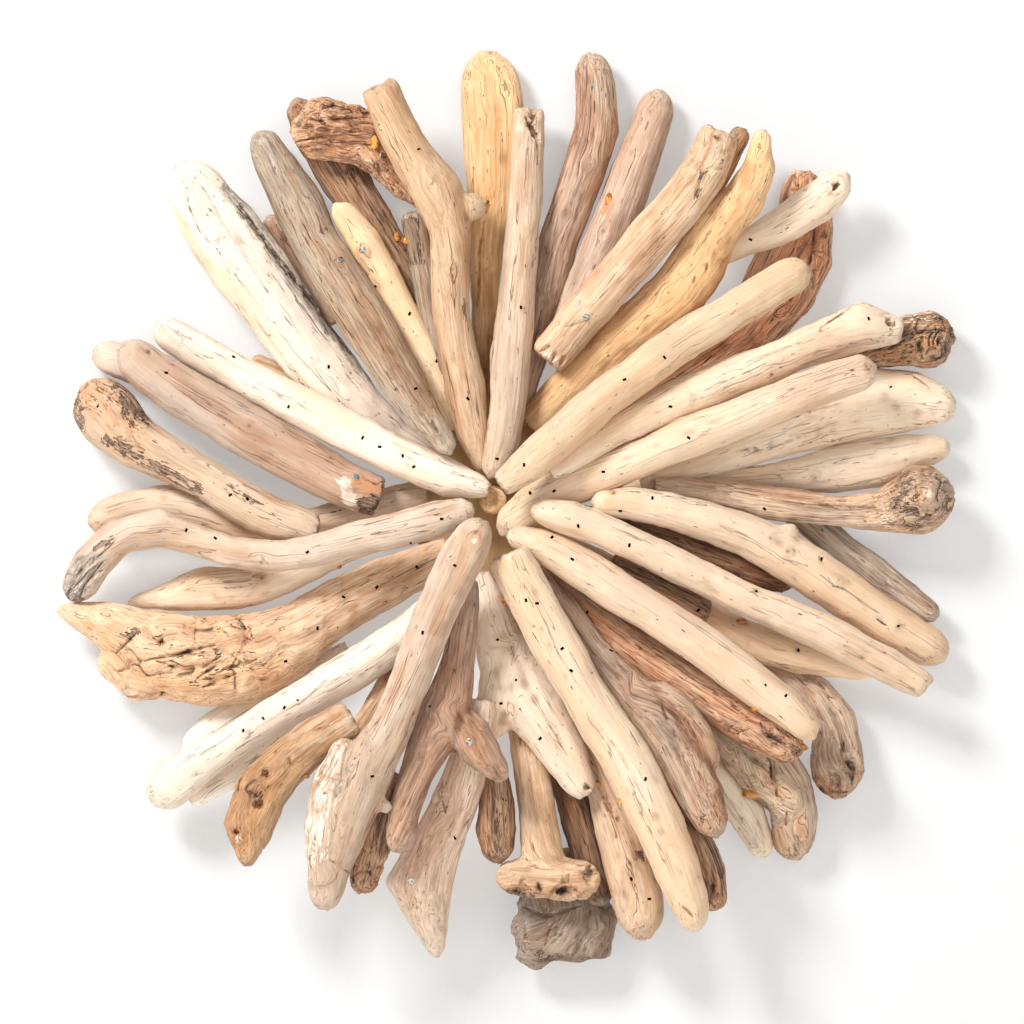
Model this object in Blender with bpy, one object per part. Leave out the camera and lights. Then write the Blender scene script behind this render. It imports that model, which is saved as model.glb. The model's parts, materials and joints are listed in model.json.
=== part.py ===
"""Driftwood wall decor: a starburst of weathered sticks laid round a small plywood disc.

The back lies in the plane y = 0, which is the wall, and the sticks stand out of it towards -Y. Every
stick is drawn in the plane of the face, bent and thickened as it grew, and then laid from the front onto
whatever is already there, leaning so that its middle comes as near to the wall as it can.
"""

import math
from dataclasses import dataclass

import bmesh
import bpy
import numpy as np
from mathutils import Matrix, Vector, noise
from mathutils.bvhtree import BVHTree

# Driving dimensions, in metres.
OVERALL_HEIGHT = 0.553
DISC_RADIUS = 0.052
DISC_THICKNESS = 0.012
PEG_RADIUS = 0.0085
PEG_HEIGHT = 0.050
GAP = 0.0003

# The face, as the photograph shows it: the decor's top and bottom edge and its centre, in pixels.
TOP_PX, BOTTOM_PX = 50, 972
CENTRE_PX = (493, 500)
PIXEL = OVERALL_HEIGHT / (BOTTOM_PX - TOP_PX)

# The hanger on the back of the disc: a toothed steel strip over a shallow pocket.
HANGER_HEIGHT = 0.030
HANGER_LENGTH, HANGER_WIDTH, HANGER_STEEL = 0.044, 0.009, 0.0008
HANGER_FOOT = 0.006
HANGER_TEETH, TOOTH_DEPTH = 9, 0.0016
POCKET_LENGTH, POCKET_WIDTH, POCKET_DEPTH = 0.050, 0.014, 0.0034

# How a stick's solid is made.
RING_SPACING = 0.024
FINE_SIDES, PLAIN_SIDES = 3, 2
CURVE_STEPS = 10
LUMP_HEIGHT, LUMP_LENGTH = 0.0013, 0.035
ROUND_MARKS = ((0.03, 0.38), (0.36, 0.78))
BOW = 0.003

# How the sticks are laid.
CELL = 0.0025
FIELD = 0.320
LEANS = [math.tan(math.radians(tenths / 10)) for tenths in range(-80, 121)]
NUDGE = 0.0001
CLEARANCE = 0.00015
TUCK_REACH = 0.060

COLOURS = {
    "cream": (0.80, 0.69, 0.53),
    "tan": (0.66, 0.50, 0.34),
    "honey": (0.71, 0.47, 0.24),
    "grey": (0.45, 0.39, 0.33),
    "mauve": (0.49, 0.37, 0.30),
    "brown": (0.33, 0.21, 0.14),
    "plywood": (0.62, 0.45, 0.28),
    "steel": (0.60, 0.60, 0.62),
}


@dataclass(frozen=True)
class Stick:
    """One stick, as it shows on the face. A path is (pixel x, pixel y, width in pixels) from the rim inwards."""

    name: str
    wood: str
    path_px: tuple
    thick: float = 0.86
    rim: str = "round"
    heart: str = "cut"
    branches_px: tuple = ()
    knobs_px: tuple = ()
    hollows_px: tuple = ()
    tucked: bool = False


# Back layer: what the others lie on, or are fixed in front of.
BACK = (
    Stick("stick_19_dark_under_white", "brown",
          ((792, 586, 14), (765, 578, 26), (700, 555, 30), (640, 530, 28), (575, 515, 22)), tucked=True),
    Stick("stick_16_grey_short", "grey",
          ((938, 618, 20), (900, 592, 28), (860, 562, 30), (820, 530, 30), (785, 505, 24)), tucked=True),
    Stick("stick_14_thin_cream", "cream",
          ((950, 448, 22), (925, 450, 30), (885, 461, 46), (850, 468, 50), (800, 474, 36), (760, 477, 22),
           (710, 480, 16), (650, 487, 16), (570, 492, 14))),
    Stick("stick_11_dark_burl_end", "brown",
          ((952, 338, 40), (930, 340, 60), (908, 341, 54), (885, 352, 32), (860, 358, 24), (825, 372, 22)),
          thick=0.8, tucked=True),
    Stick("stick_33_grey_slab", "brown",
          ((565, 959, 92), (564, 940, 104), (563, 915, 106), (560, 885, 82), (556, 850, 44)), thick=0.42,
          rim="cut", tucked=True, branches_px=(((537, 971, 20), (536, 955, 42), (545, 930, 50)),)),
    Stick("stick_34_dark_between", "brown",
          ((500, 862, 22), (497, 842, 38), (496, 818, 40), (497, 795, 32), (491, 760, 28)), tucked=True),
    Stick("stick_37_brown_gnarled", "brown",
          ((364, 896, 26), (366, 868, 34), (375, 840, 34), (385, 815, 30), (400, 775, 26)), tucked=True),
    Stick("stick_41_thin_mauve", "mauve",
          ((192, 800, 12), (205, 792, 22), (230, 775, 25), (265, 747, 26), (300, 718, 24), (340, 690, 22)),
          tucked=True),
    Stick("stick_42_cream_under", "cream",
          ((186, 757, 28), (207, 735, 34), (235, 715, 34), (270, 697, 28), (310, 675, 26), (350, 650, 22)),
          tucked=True),
    Stick("stick_46_cream_behind_hook", "cream",
          ((90, 525, 34), (130, 510, 40), (165, 505, 44), (200, 512, 44), (240, 528, 36), (285, 528, 28),
           (330, 516, 26), (380, 504, 28), (428, 494, 28))),
    Stick("stick_48_cream_short", "cream",
          ((93, 353, 34), (128, 364, 36), (180, 390, 34), (240, 420, 30)), tucked=True),
    Stick("stick_52_tan_stub", "tan",
          ((268, 216, 24), (283, 243, 28), (300, 270, 26), (335, 325, 22)), tucked=True),
    Stick("stick_27_dark_behind_white", "brown",
          ((714, 912, 20), (713, 888, 32), (703, 860, 34), (682, 815, 32), (650, 760, 26)), tucked=True),
    Stick("stick_30_grey_brown_inner", "mauve",
          ((600, 905, 26), (592, 860, 36), (583, 825, 38), (573, 795, 34), (560, 765, 28), (548, 740, 24)),
          tucked=True),
    Stick("stick_25_grey_back", "grey",
          ((764, 856, 24), (750, 820, 36), (735, 797, 40), (715, 775, 36), (690, 750, 30), (660, 715, 26)),
          tucked=True),
    Stick("stick_24_two_lobed", "mauve",
          ((792, 858, 36), (794, 822, 46), (790, 790, 46), (783, 765, 40), (765, 740, 32), (745, 720, 28)),
          tucked=True,
          branches_px=(((706, 720, 18), (725, 740, 26), (743, 765, 30), (760, 790, 28), (780, 805, 22)),)),
)

# Middle layer.
MIDDLE = (
    Stick("stick_55_brown_straight", "brown",
          ((299, 98, 22), (305, 122, 34), (325, 150, 42), (347, 182, 44), (370, 220, 44), (388, 248, 40),
           (403, 272, 34), (417, 300, 30), (432, 335, 26), (452, 395, 22), (464, 440, 20))),
    Stick("stick_54_gnarled_knot", "brown",
          ((291, 133, 44), (312, 131, 58), (342, 133, 68), (368, 138, 62), (385, 165, 36), (402, 186, 24),
           (420, 203, 14)), thick=0.7),
    Stick("stick_01_honey_plank", "honey",
          ((483, 51, 44), (488, 72, 54), (494, 105, 64), (495, 150, 60), (494, 200, 54), (490, 250, 44),
           (490, 300, 38), (488, 340, 28), (488, 425, 18)), thick=0.5, hollows_px=((488, 202, 7),)),
    Stick("stick_03_curved_mauve", "mauve",
          ((592, 53, 30), (595, 78, 36), (600, 108, 40), (594, 145, 43), (581, 180, 43), (570, 210, 42),
           (559, 240, 38), (549, 280, 36), (541, 320, 32), (530, 370, 26), (514, 425, 22))),
    Stick("stick_04_brown_grey", "mauve",
          ((659, 92, 34), (655, 112, 36), (648, 135, 38), (638, 160, 42), (627, 190, 47), (617, 215, 46),
           (607, 240, 44), (592, 275, 42), (575, 310, 36), (556, 352, 28))),
    Stick("stick_07_red_brown_arc", "brown",
          ((795, 171, 40), (803, 200, 50), (803, 235, 64), (792, 262, 80), (775, 295, 74), (750, 328, 60),
           (715, 350, 46), (670, 372, 38), (620, 398, 30), (575, 430, 26), (548, 452, 22)), thick=0.45),
    Stick("stick_08_cream_hollow_knob", "cream",
          ((845, 174, 20), (835, 186, 34), (822, 200, 38), (805, 211, 40), (785, 224, 38), (760, 237, 32),
           (735, 248, 22), (715, 258, 18)), thick=0.9, hollows_px=((834, 190, 7),)),
    Stick("stick_06_honey_knobbly", "honey",
          ((760, 129, 18), (760, 150, 22), (757, 180, 34), (742, 205, 44), (712, 232, 50), (700, 262, 56),
           (684, 288, 60), (652, 315, 56), (612, 350, 52), (572, 388, 46), (532, 428, 36)), thick=0.72),
    Stick("stick_13_wide_cream", "cream",
          ((957, 408, 30), (940, 405, 44), (920, 401, 58), (897, 398, 70), (870, 402, 70), (835, 414, 62),
           (800, 425, 54), (760, 440, 44), (720, 457, 34), (680, 470, 24), (640, 481, 18)), thick=0.6),
    Stick("stick_15_round_burl", "tan",
          ((953, 500, 44), (918, 500, 70), (893, 506, 52), (870, 513, 33), (850, 512, 30), (800, 507, 32),
           (755, 501, 35), (715, 493, 24), (655, 487, 18)), thick=0.92),
    Stick("stick_22_split_end", "mauve",
          ((836, 797, 34), (836, 770, 54), (838, 740, 48), (830, 712, 42), (812, 690, 36), (790, 676, 26),
           (750, 650, 22)), thick=0.9, tucked=True, hollows_px=((832, 783, 10), (853, 765, 6))),
    Stick("stick_20_spindle", "tan",
          ((874, 672, 14), (840, 665, 24), (800, 656, 32), (750, 640, 34), (715, 620, 30), (670, 598, 28),
           (600, 562, 22), (556, 540, 20))),
    Stick("stick_21_red_brown_knotted", "brown",
          ((801, 752, 26), (782, 742, 42), (755, 726, 50), (725, 707, 48), (690, 686, 42), (650, 660, 44),
           (615, 635, 38), (580, 608, 34), (550, 582, 24), (532, 562, 20))),
    Stick("stick_26_pale_branched", "grey",
          ((718, 835, 26), (705, 805, 44), (683, 765, 50), (660, 730, 52), (635, 700, 46), (612, 675, 36),
           (590, 645, 30), (560, 600, 24), (535, 566, 20)),
          branches_px=(((712, 768, 22), (700, 738, 28), (685, 712, 30), (665, 697, 28), (645, 690, 24)),)),
    Stick("stick_29_spotted_tan", "tan",
          ((642, 937, 34), (640, 910, 50), (630, 870, 48), (618, 830, 42), (605, 795, 32), (585, 750, 28),
           (548, 665, 24), (515, 580, 20))),
    Stick("stick_32_t_shaped", "honey",
          ((545, 880, 40), (542, 850, 42), (538, 820, 39), (534, 790, 36), (530, 765, 33), (524, 740, 28),
           (514, 690, 24), (504, 620, 22), (498, 580, 18)), thick=0.8, rim="cut",
          branches_px=(((495, 876, 24), (520, 876, 38), (550, 879, 40), (580, 879, 42), (600, 878, 28)),),
          hollows_px=((522, 889, 7), (565, 892, 8), (588, 876, 6))),
    Stick("stick_31_forked_plank", "cream",
          ((586, 797, 26), (575, 772, 38), (557, 742, 46), (538, 712, 60), (518, 685, 68), (505, 655, 60),
           (496, 625, 46), (488, 598, 30), (482, 572, 18)), thick=0.55,
          branches_px=(((491, 740, 20), (494, 715, 40), (500, 690, 48), (510, 655, 44)),),
          hollows_px=((588, 787, 6),)),
    Stick("stick_35_pinkish_brown", "mauve",
          ((436, 958, 14), (434, 932, 28), (422, 906, 58), (418, 886, 68), (428, 862, 60), (440, 838, 50),
           (452, 810, 46), (464, 780, 44), (474, 745, 36), (482, 700, 26)), thick=0.8),
    Stick("stick_36_y_fork", "mauve",
          ((400, 850, 28), (404, 815, 28), (411, 790, 32), (420, 765, 34), (432, 740, 46), (445, 715, 54),
           (452, 690, 44), (460, 650, 30), (470, 580, 20)), thick=0.75,
          branches_px=(((506, 778, 12), (496, 768, 26), (483, 752, 38), (470, 735, 46), (456, 712, 48)),)),
    Stick("stick_39_hollowed_yellow", "tan",
          ((247, 866, 16), (249, 850, 28), (248, 828, 50), (255, 802, 54), (277, 773, 50), (310, 743, 46),
           (340, 722, 40), (352, 716, 36)), tucked=True,
          hollows_px=((237, 831, 6), (261, 804, 6), (268, 775, 6))),
    Stick("stick_43_great_burl", "honey",
          ((55, 609, 16), (80, 614, 30), (112, 627, 50), (148, 646, 76), (180, 657, 90), (215, 661, 94),
           (250, 657, 88), (280, 646, 76), (305, 630, 64), (340, 606, 54), (370, 590, 51), (405, 574, 48),
           (452, 552, 34)), thick=0.62,
          branches_px=(((102, 655, 24), (125, 680, 34), (150, 688, 30), (175, 680, 40), (220, 672, 40)),)),
    Stick("stick_45_cream_spindle", "cream",
          ((128, 603, 8), (160, 598, 22), (185, 592, 38), (215, 589, 44), (245, 588, 42), (275, 580, 34),
           (310, 566, 26), (360, 546, 20), (420, 532, 16))),
    Stick("stick_47_dark_knob", "tan",
          ((99, 380, 46), (103, 405, 66), (123, 434, 58), (150, 450, 50), (200, 476, 42), (250, 507, 42),
           (290, 525, 42), (318, 531, 34)), hollows_px=((84, 402, 5),)),
    Stick("stick_49_mauve_broken_end", "mauve",
          ((124, 345, 34), (145, 368, 44), (170, 386, 50), (200, 402, 50), (250, 432, 52), (300, 461, 50),
           (350, 487, 46), (380, 498, 42))),
    Stick("stick_51_big_cream", "cream",
          ((185, 160, 44), (193, 186, 58), (205, 205, 66), (219, 228, 74), (237, 253, 78), (275, 302, 73),
           (311, 352, 66), (349, 396, 56), (385, 430, 40), (432, 455, 26)), thick=0.64),
    Stick("stick_56_thin_honey", "honey",
          ((337, 205, 16), (350, 222, 30), (366, 245, 34), (383, 275, 32), (398, 305, 30), (415, 335, 30),
           (430, 362, 30), (444, 395, 24), (455, 430, 18))),
)

# Front layer, from the lower sticks to the upper ones.
FRONT = (
    Stick("stick_40_white_straight", "cream",
          ((152, 801, 38), (167, 789, 48), (185, 773, 43), (205, 759, 36), (240, 737, 34), (300, 700, 38),
           (350, 672, 39), (398, 639, 36), (430, 610, 30), (456, 577, 24))),
    Stick("stick_05_broken_inner_end", "tan",
          ((720, 132, 38), (714, 152, 46), (702, 174, 48), (675, 212, 46), (640, 250, 45), (605, 290, 44),
           (575, 325, 44), (546, 360, 40)), rim="cut", hollows_px=((703, 143, 5), (722, 140, 7))),
    Stick("stick_53_grey_round", "grey",
          ((262, 131, 32), (269, 152, 36), (283, 175, 46), (298, 202, 52), (320, 250, 48), (353, 300, 50),
           (382, 350, 47), (414, 398, 40), (434, 430, 30), (452, 453, 20)), heart="round"),
    Stick("stick_57_elbow", "tan",
          ((379, 87, 37), (388, 110, 38), (401, 138, 40), (421, 170, 44), (446, 204, 55), (450, 232, 43),
           (450, 270, 38), (451, 310, 37), (457, 350, 37), (466, 395, 39), (472, 430, 34), (484, 470, 18)),
          rim="cut", knobs_px=((471, 208, 17),)),
    Stick("stick_02_hollow_tip", "grey",
          ((528, 110, 31), (528, 135, 31), (525, 200, 32), (520, 260, 34), (516, 300, 37), (512, 340, 40),
           (510, 380, 36), (506, 420, 35), (500, 450, 32), (488, 478, 20)), rim="cut", heart="round",
          hollows_px=((529, 113, 9),)),
    Stick("stick_12_cream_lower", "cream",
          ((876, 370, 28), (858, 374, 36), (800, 392, 39), (750, 414, 39), (700, 433, 41), (650, 454, 38),
           (600, 476, 38), (560, 490, 38), (525, 510, 38), (500, 533, 26)), heart="round"),
    Stick("stick_10_flared_end", "cream",
          ((900, 331, 24), (886, 325, 46), (868, 324, 50), (850, 330, 45), (800, 351, 39), (750, 371, 38),
           (700, 390, 40), (650, 413, 38), (615, 430, 32), (580, 452, 24), (550, 472, 20)), rim="cut",
          hollows_px=((872, 304, 5), (893, 326, 6))),
    Stick("stick_09_pale_smooth", "cream",
          ((807, 266, 32), (790, 277, 38), (750, 302, 37), (700, 331, 40), (650, 365, 40), (600, 402, 40),
           (550, 447, 38), (520, 470, 34), (502, 486, 24))),
    Stick("stick_17_long_cream", "cream",
          ((945, 656, 36), (900, 630, 44), (855, 602, 46), (812, 572, 48), (780, 552, 46), (735, 531, 42),
           (690, 517, 38), (650, 506, 36), (615, 503, 28), (592, 503, 18)), heart="round",
          knobs_px=((789, 533, 12),)),
    Stick("stick_18_long_cut_end", "cream",
          ((925, 688, 26), (900, 672, 32), (850, 647, 34), (800, 621, 35), (750, 601, 33), (700, 578, 32),
           (650, 553, 32), (600, 530, 34), (565, 517, 32), (530, 508, 20)), rim="cut", heart="round"),
    Stick("stick_23_smooth_tan", "cream",
          ((813, 739, 22), (798, 718, 36), (750, 681, 41), (700, 644, 42), (650, 611, 40), (610, 586, 42),
           (570, 560, 40), (540, 544, 33), (508, 534, 20)), heart="round"),
    Stick("stick_28_white_fibrous", "cream",
          ((696, 931, 22), (688, 900, 38), (680, 873, 44), (668, 842, 48), (647, 800, 51), (622, 750, 51),
           (588, 700, 46), (565, 662, 47), (545, 625, 49), (526, 587, 47), (508, 553, 42))),
    Stick("stick_44_hook", "grey",
          ((74, 601, 32), (84, 578, 40), (98, 558, 38), (115, 541, 36), (134, 529, 40), (155, 527, 40),
           (180, 534, 32), (205, 543, 30), (235, 552, 30), (270, 556, 29), (305, 554, 30), (350, 539, 32),
           (400, 530, 35), (440, 518, 34), (474, 508, 22)), heart="round"),
    Stick("stick_50_white_top", "cream",
          ((158, 322, 28), (175, 338, 34), (200, 353, 36), (250, 381, 37), (300, 407, 38), (350, 432, 40),
           (400, 457, 41), (440, 474, 38), (470, 485, 28), (488, 490, 18))),
    Stick("stick_38_diagonal_rotten_side", "mauve",
          ((325, 908, 26), (327, 880, 38), (333, 850, 50), (344, 815, 62), (356, 785, 62), (372, 760, 52),
           (386, 738, 42), (402, 700, 40), (420, 652, 42), (438, 608, 44), (453, 575, 43), (468, 547, 42),
           (482, 520, 32)), thick=0.8, heart="round",
          branches_px=(((350, 740, 22), (340, 765, 36), (330, 795, 40), (322, 830, 36), (322, 870, 30)),),
          knobs_px=((387, 806, 9),)),
)

STICKS = BACK + MIDDLE + FRONT


def clear_scene():
    """Take away whatever the scene holds."""
    for item in list(bpy.data.objects):
        bpy.data.objects.remove(item, do_unlink=True)


def new_collection(name):
    """A collection in the scene, for the model."""
    collection = bpy.data.collections.new(name)
    bpy.context.scene.collection.children.link(collection)
    return collection


def new_material(name):
    """A Principled material in one of the decor's colours."""
    material = bpy.data.materials.new(name)
    material.use_nodes = True
    shader = material.node_tree.nodes["Principled BSDF"]
    shader.inputs["Base Color"].default_value = (*COLOURS[name], 1.0)
    shader.inputs["Roughness"].default_value = 0.35 if name == "steel" else 0.82
    shader.inputs["Metallic"].default_value = 1.0 if name == "steel" else 0.0
    return material


def on_face(x_px, y_px):
    """A pixel of the photograph as (x, z) on the face, in metres."""
    return (x_px - CENTRE_PX[0]) * PIXEL, (CENTRE_PX[1] - y_px) * PIXEL


def evaluated_mesh(item):
    """The object's mesh as its modifiers or its curve settings make it."""
    graph = bpy.context.evaluated_depsgraph_get()
    return bpy.data.meshes.new_from_object(item.evaluated_get(graph))


def smooth_line(path_px):
    """Close points of a smooth curve through a path, as rows of x, z and half width in metres."""
    rows = np.array([(*on_face(x, y), width * PIXEL / 2) for x, y, width in path_px])
    rows = np.vstack([2 * rows[0] - rows[1], rows, 2 * rows[-1] - rows[-2]])
    line = []
    for before, start, end, after in zip(rows, rows[1:], rows[2:], rows[3:]):
        for t in np.linspace(0, 1, CURVE_STEPS, endpoint=False):
            square = (2 * before - 5 * start + 4 * end - after) * t**2
            cube = (3 * start - before - 3 * end + after) * t**3
            line.append(0.5 * (2 * start + (end - before) * t + square + cube))
    line.append(rows[-2])
    return np.array(line)


def ring_marks(length, first_radius, last_radius, rim, heart):
    """Where the rings stand along a stick, each with the share of the local radius that it has."""
    count = max(3, round(length / RING_SPACING))
    marks = [(length * i / count, 1.0) for i in range(count + 1)]
    if rim == "round":
        marks[0] = (first_radius, 1.0)
        marks[:0] = [(share * first_radius, scale) for share, scale in ROUND_MARKS]
    if heart == "round":
        marks[-1] = (length - last_radius, 1.0)
        marks += [(length - share * last_radius, scale) for share, scale in reversed(ROUND_MARKS)]
    return sorted(marks)


def tube(name, path_px, rim="round", heart="cut", sides=FINE_SIDES):
    """A closed stick along a path, round in section, lying in the plane y = 0."""
    line = smooth_line(path_px)
    run = np.concatenate([[0], np.cumsum(np.linalg.norm(np.diff(line[:, :2], axis=0), axis=1))])
    marks = ring_marks(run[-1], line[0, 2], line[-1, 2], rim, heart)
    curve = bpy.data.curves.new(name, "CURVE")
    curve.dimensions = "3D"
    curve.bevel_depth = 1.0
    curve.bevel_resolution = sides
    curve.use_fill_caps = True
    spline = curve.splines.new("POLY")
    spline.points.add(len(marks) - 1)
    for point, (mark, scale) in zip(spline.points, marks):
        x, z, radius = (np.interp(mark, run, line[:, column]) for column in range(3))
        point.co = (x, 0, z, 1)
        point.radius = radius * scale
    item = bpy.data.objects.new(name, curve)
    bpy.context.scene.collection.objects.link(item)
    mesh = evaluated_mesh(item)
    bpy.data.objects.remove(item)
    return welded_object(name, mesh)


def welded_object(name, mesh):
    """An object of a mesh whose caps are joined to its sides."""
    shape = bmesh.new()
    shape.from_mesh(mesh)
    bmesh.ops.remove_doubles(shape, verts=shape.verts, dist=0.00001)
    bmesh.ops.recalc_face_normals(shape, faces=shape.faces)
    shape.to_mesh(mesh)
    shape.free()
    item = bpy.data.objects.new(name, mesh)
    bpy.context.scene.collection.objects.link(item)
    return item


def ball(name, x_px, y_px, radius_px, depth=0.0):
    """A faceted ball on the face, for a knob or for a hollow."""
    x, z = on_face(x_px, y_px)
    shape = bmesh.new()
    bmesh.ops.create_icosphere(shape, subdivisions=1, radius=radius_px * PIXEL)
    bmesh.ops.rotate(shape, verts=shape.verts, matrix=Matrix.Rotation(0.4, 3, "Y"))
    bmesh.ops.translate(shape, verts=shape.verts, vec=(x, depth, z))
    mesh = bpy.data.meshes.new(name)
    shape.to_mesh(mesh)
    shape.free()
    item = bpy.data.objects.new(name, mesh)
    bpy.context.scene.collection.objects.link(item)
    return item


def combine(body, other, operation):
    """Join another solid to a body, or cut it out, and take the other away."""
    modifier = body.modifiers.new("combine", "BOOLEAN")
    modifier.operation = operation
    modifier.object = other
    modifier.solver = "EXACT"
    mesh = evaluated_mesh(body)
    body.modifiers.clear()
    body.data = mesh
    bpy.data.objects.remove(other)


def roughen(item, seed):
    """Low lumps over a stick, a slight bow towards or away from the wall, and flat three-sided faces."""
    shape = bmesh.new()
    shape.from_mesh(item.data)
    shape.normal_update()
    offset = Vector((seed * 1.7, seed * 0.9, seed * 2.3))
    sway = noise.noise(offset) * BOW / 0.3
    corners = np.array([vertex.co for vertex in shape.verts])
    low, high = corners.min(axis=0), corners.max(axis=0)
    middle, half = (low + high) / 2, np.linalg.norm(high - low) / 2
    for vertex in shape.verts:
        lump = noise.noise(vertex.co / LUMP_LENGTH + offset)
        away = (vertex.co - Vector(middle)).length / half
        vertex.co += vertex.normal * lump * LUMP_HEIGHT
        vertex.co.y += sway * away**2
    bmesh.ops.triangulate(shape, faces=shape.faces)
    shape.to_mesh(item.data)
    shape.free()


def make_stick(stick, seed):
    """The stick's solid with its branches, knobs and hollows, still lying in the plane y = 0."""
    sides = PLAIN_SIDES if stick.tucked else FINE_SIDES
    item = tube(stick.name, stick.path_px, stick.rim, stick.heart, sides)
    for path_px in stick.branches_px:
        combine(item, tube("branch", path_px, heart="round", sides=PLAIN_SIDES), "UNION")
    for knob in stick.knobs_px:
        combine(item, ball("knob", *knob), "UNION")
    item.data.transform(Matrix.Diagonal((1, stick.thick, 1, 1)))
    for hollow in stick.hollows_px:
        x, z = on_face(*hollow[:2])
        front = tree_of([item]).ray_cast((x, -1, z), (0, 1, 0))[0]
        combine(item, ball("hollow", *hollow, depth=front.y if front else 0.0), "DIFFERENCE")
    roughen(item, seed)
    return item


def tree_of(items):
    """One search tree over the world-space faces of several objects."""
    corners, faces = [], []
    for item in items:
        start = len(corners)
        corners += [vertex.co.copy() for vertex in item.data.vertices]
        faces += [[start + index for index in face.vertices] for face in item.data.polygons]
    return BVHTree.FromPolygons(corners, faces)


class Pile:
    """What is laid so far: the solids, how far each cell of the face stands out, and how far firmly."""

    def __init__(self):
        count = round(2 * FIELD / CELL)
        self.items = []
        self.front = np.zeros((count, count))
        self.firm = np.full((count, count), -math.inf)

    def cells(self, item):
        """The cells that an object covers, with the y of its front and of its back there."""
        tree = tree_of([item])
        corners = np.array([vertex.co for vertex in item.data.vertices])
        low = np.floor((corners.min(axis=0) + FIELD) / CELL).astype(int)
        high = np.ceil((corners.max(axis=0) + FIELD) / CELL).astype(int)
        found = []
        for i in range(low[0], high[0]):
            for j in range(low[2], high[2]):
                x, z = (i + 0.5) * CELL - FIELD, (j + 0.5) * CELL - FIELD
                front = tree.ray_cast((x, -1, z), (0, 1, 0))[0]
                if front is not None:
                    back = tree.ray_cast((x, 1, z), (0, -1, 0))[0]
                    found.append((i, j, x, z, front.y, back.y))
        table = np.array(found)
        return table[:, 0].astype(int), table[:, 1].astype(int), table[:, 2:4], table[:, 4], table[:, 5]

    def add(self, item, tucked=False):
        """Count an object as laid. What is only tucked in stands in the way of others but holds none up."""
        i, j, _, front, _ = self.cells(item)
        self.front[i, j] = np.minimum(self.front[i, j], front)
        if not tucked:
            self.firm[i, j] = np.where(np.isinf(self.firm[i, j]), front, np.minimum(self.firm[i, j], front))
        self.items.append(item)

    def crosses(self, item, without=None):
        """Whether the object's surface meets that of anything laid."""
        others = [other for other in self.items if other is not without]
        return bool(tree_of(others).overlap(tree_of([item])))

    def rest_place(self, item, stick):
        """The lean and the shift along y that bring the object's middle nearest to the wall."""
        i, j, places, _, back = self.cells(item)
        rim, heart = (np.array(on_face(*stick.path_px[end][:2])) for end in (0, -1))
        way = (rim - heart) / np.linalg.norm(rim - heart)
        corners = np.array([vertex.co for vertex in item.data.vertices])
        along, corners_along = (places - heart) @ way, (corners[:, ::2] - heart) @ way
        front, firm = self.front[i, j], self.firm[i, j]
        best = None
        for lean in LEANS:
            leaning = back + lean * along
            on_wall = -(corners[:, 1] + lean * corners_along).max()
            on_pile = (front - leaning).min()
            on_firm = np.where(np.isinf(firm), math.inf, firm - leaning).min()
            shift = min(on_wall, on_pile)
            holds = 2 if stick.tucked or on_firm <= shift + GAP else 1 if on_pile <= on_wall else 0
            place = (holds, (leaning + shift).mean(), lean, shift)
            if holds and (best is None or place > best):
                best = place
        if best is None:
            raise ValueError(f"{stick.name} rests on nothing")
        return heart, rim, best[2], best[3]

    def lay(self, item, stick):
        """Lean the object, bring it down onto what lies there, and leave the gap."""
        heart, rim, lean, shift = self.rest_place(item, stick)
        way = (rim - heart) / np.linalg.norm(rim - heart)
        for vertex in item.data.vertices:
            along = (np.array((vertex.co.x, vertex.co.z)) - heart) @ way
            vertex.co.y += lean * along + shift - GAP
        while self.crosses(item):
            item.data.transform(Matrix.Translation((0, -NUDGE, 0)))
        item.data.transform(Matrix.Translation((0, -CLEARANCE, 0)))
        self.add(item, stick.tucked)

    def tuck(self, item):
        """Bring an object forward until it is a gap away from what lies in front of it."""
        others = tree_of([other for other in self.items if other is not item])
        moved = 0.0
        while moved < TUCK_REACH and not others.overlap(tree_of([item])):
            item.data.transform(Matrix.Translation((0, -NUDGE, 0)))
            moved += NUDGE
        back = GAP + NUDGE if moved < TUCK_REACH else moved
        item.data.transform(Matrix.Translation((0, min(back, moved), 0)))


def disc():
    """The plywood disc, with the hanger's pocket cut into its back."""
    bpy.ops.mesh.primitive_cylinder_add(
        vertices=48, radius=DISC_RADIUS, depth=DISC_THICKNESS,
        location=(0, -DISC_THICKNESS / 2, 0), rotation=(math.radians(90), 0, 0))
    item = bpy.context.object
    item.name = item.data.name = "base_disc"
    bpy.ops.object.transform_apply()
    pocket = box((POCKET_LENGTH, 2 * POCKET_DEPTH, POCKET_WIDTH), (0, 0, HANGER_HEIGHT))
    combine(item, pocket, "DIFFERENCE")
    return item


def box(size, place):
    """A plain block of a size at a place."""
    bpy.ops.mesh.primitive_cube_add(size=1)
    item = bpy.context.object
    item.data.transform(Matrix.Translation(place) @ Matrix.Diagonal((*size, 1)))
    return item


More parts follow.
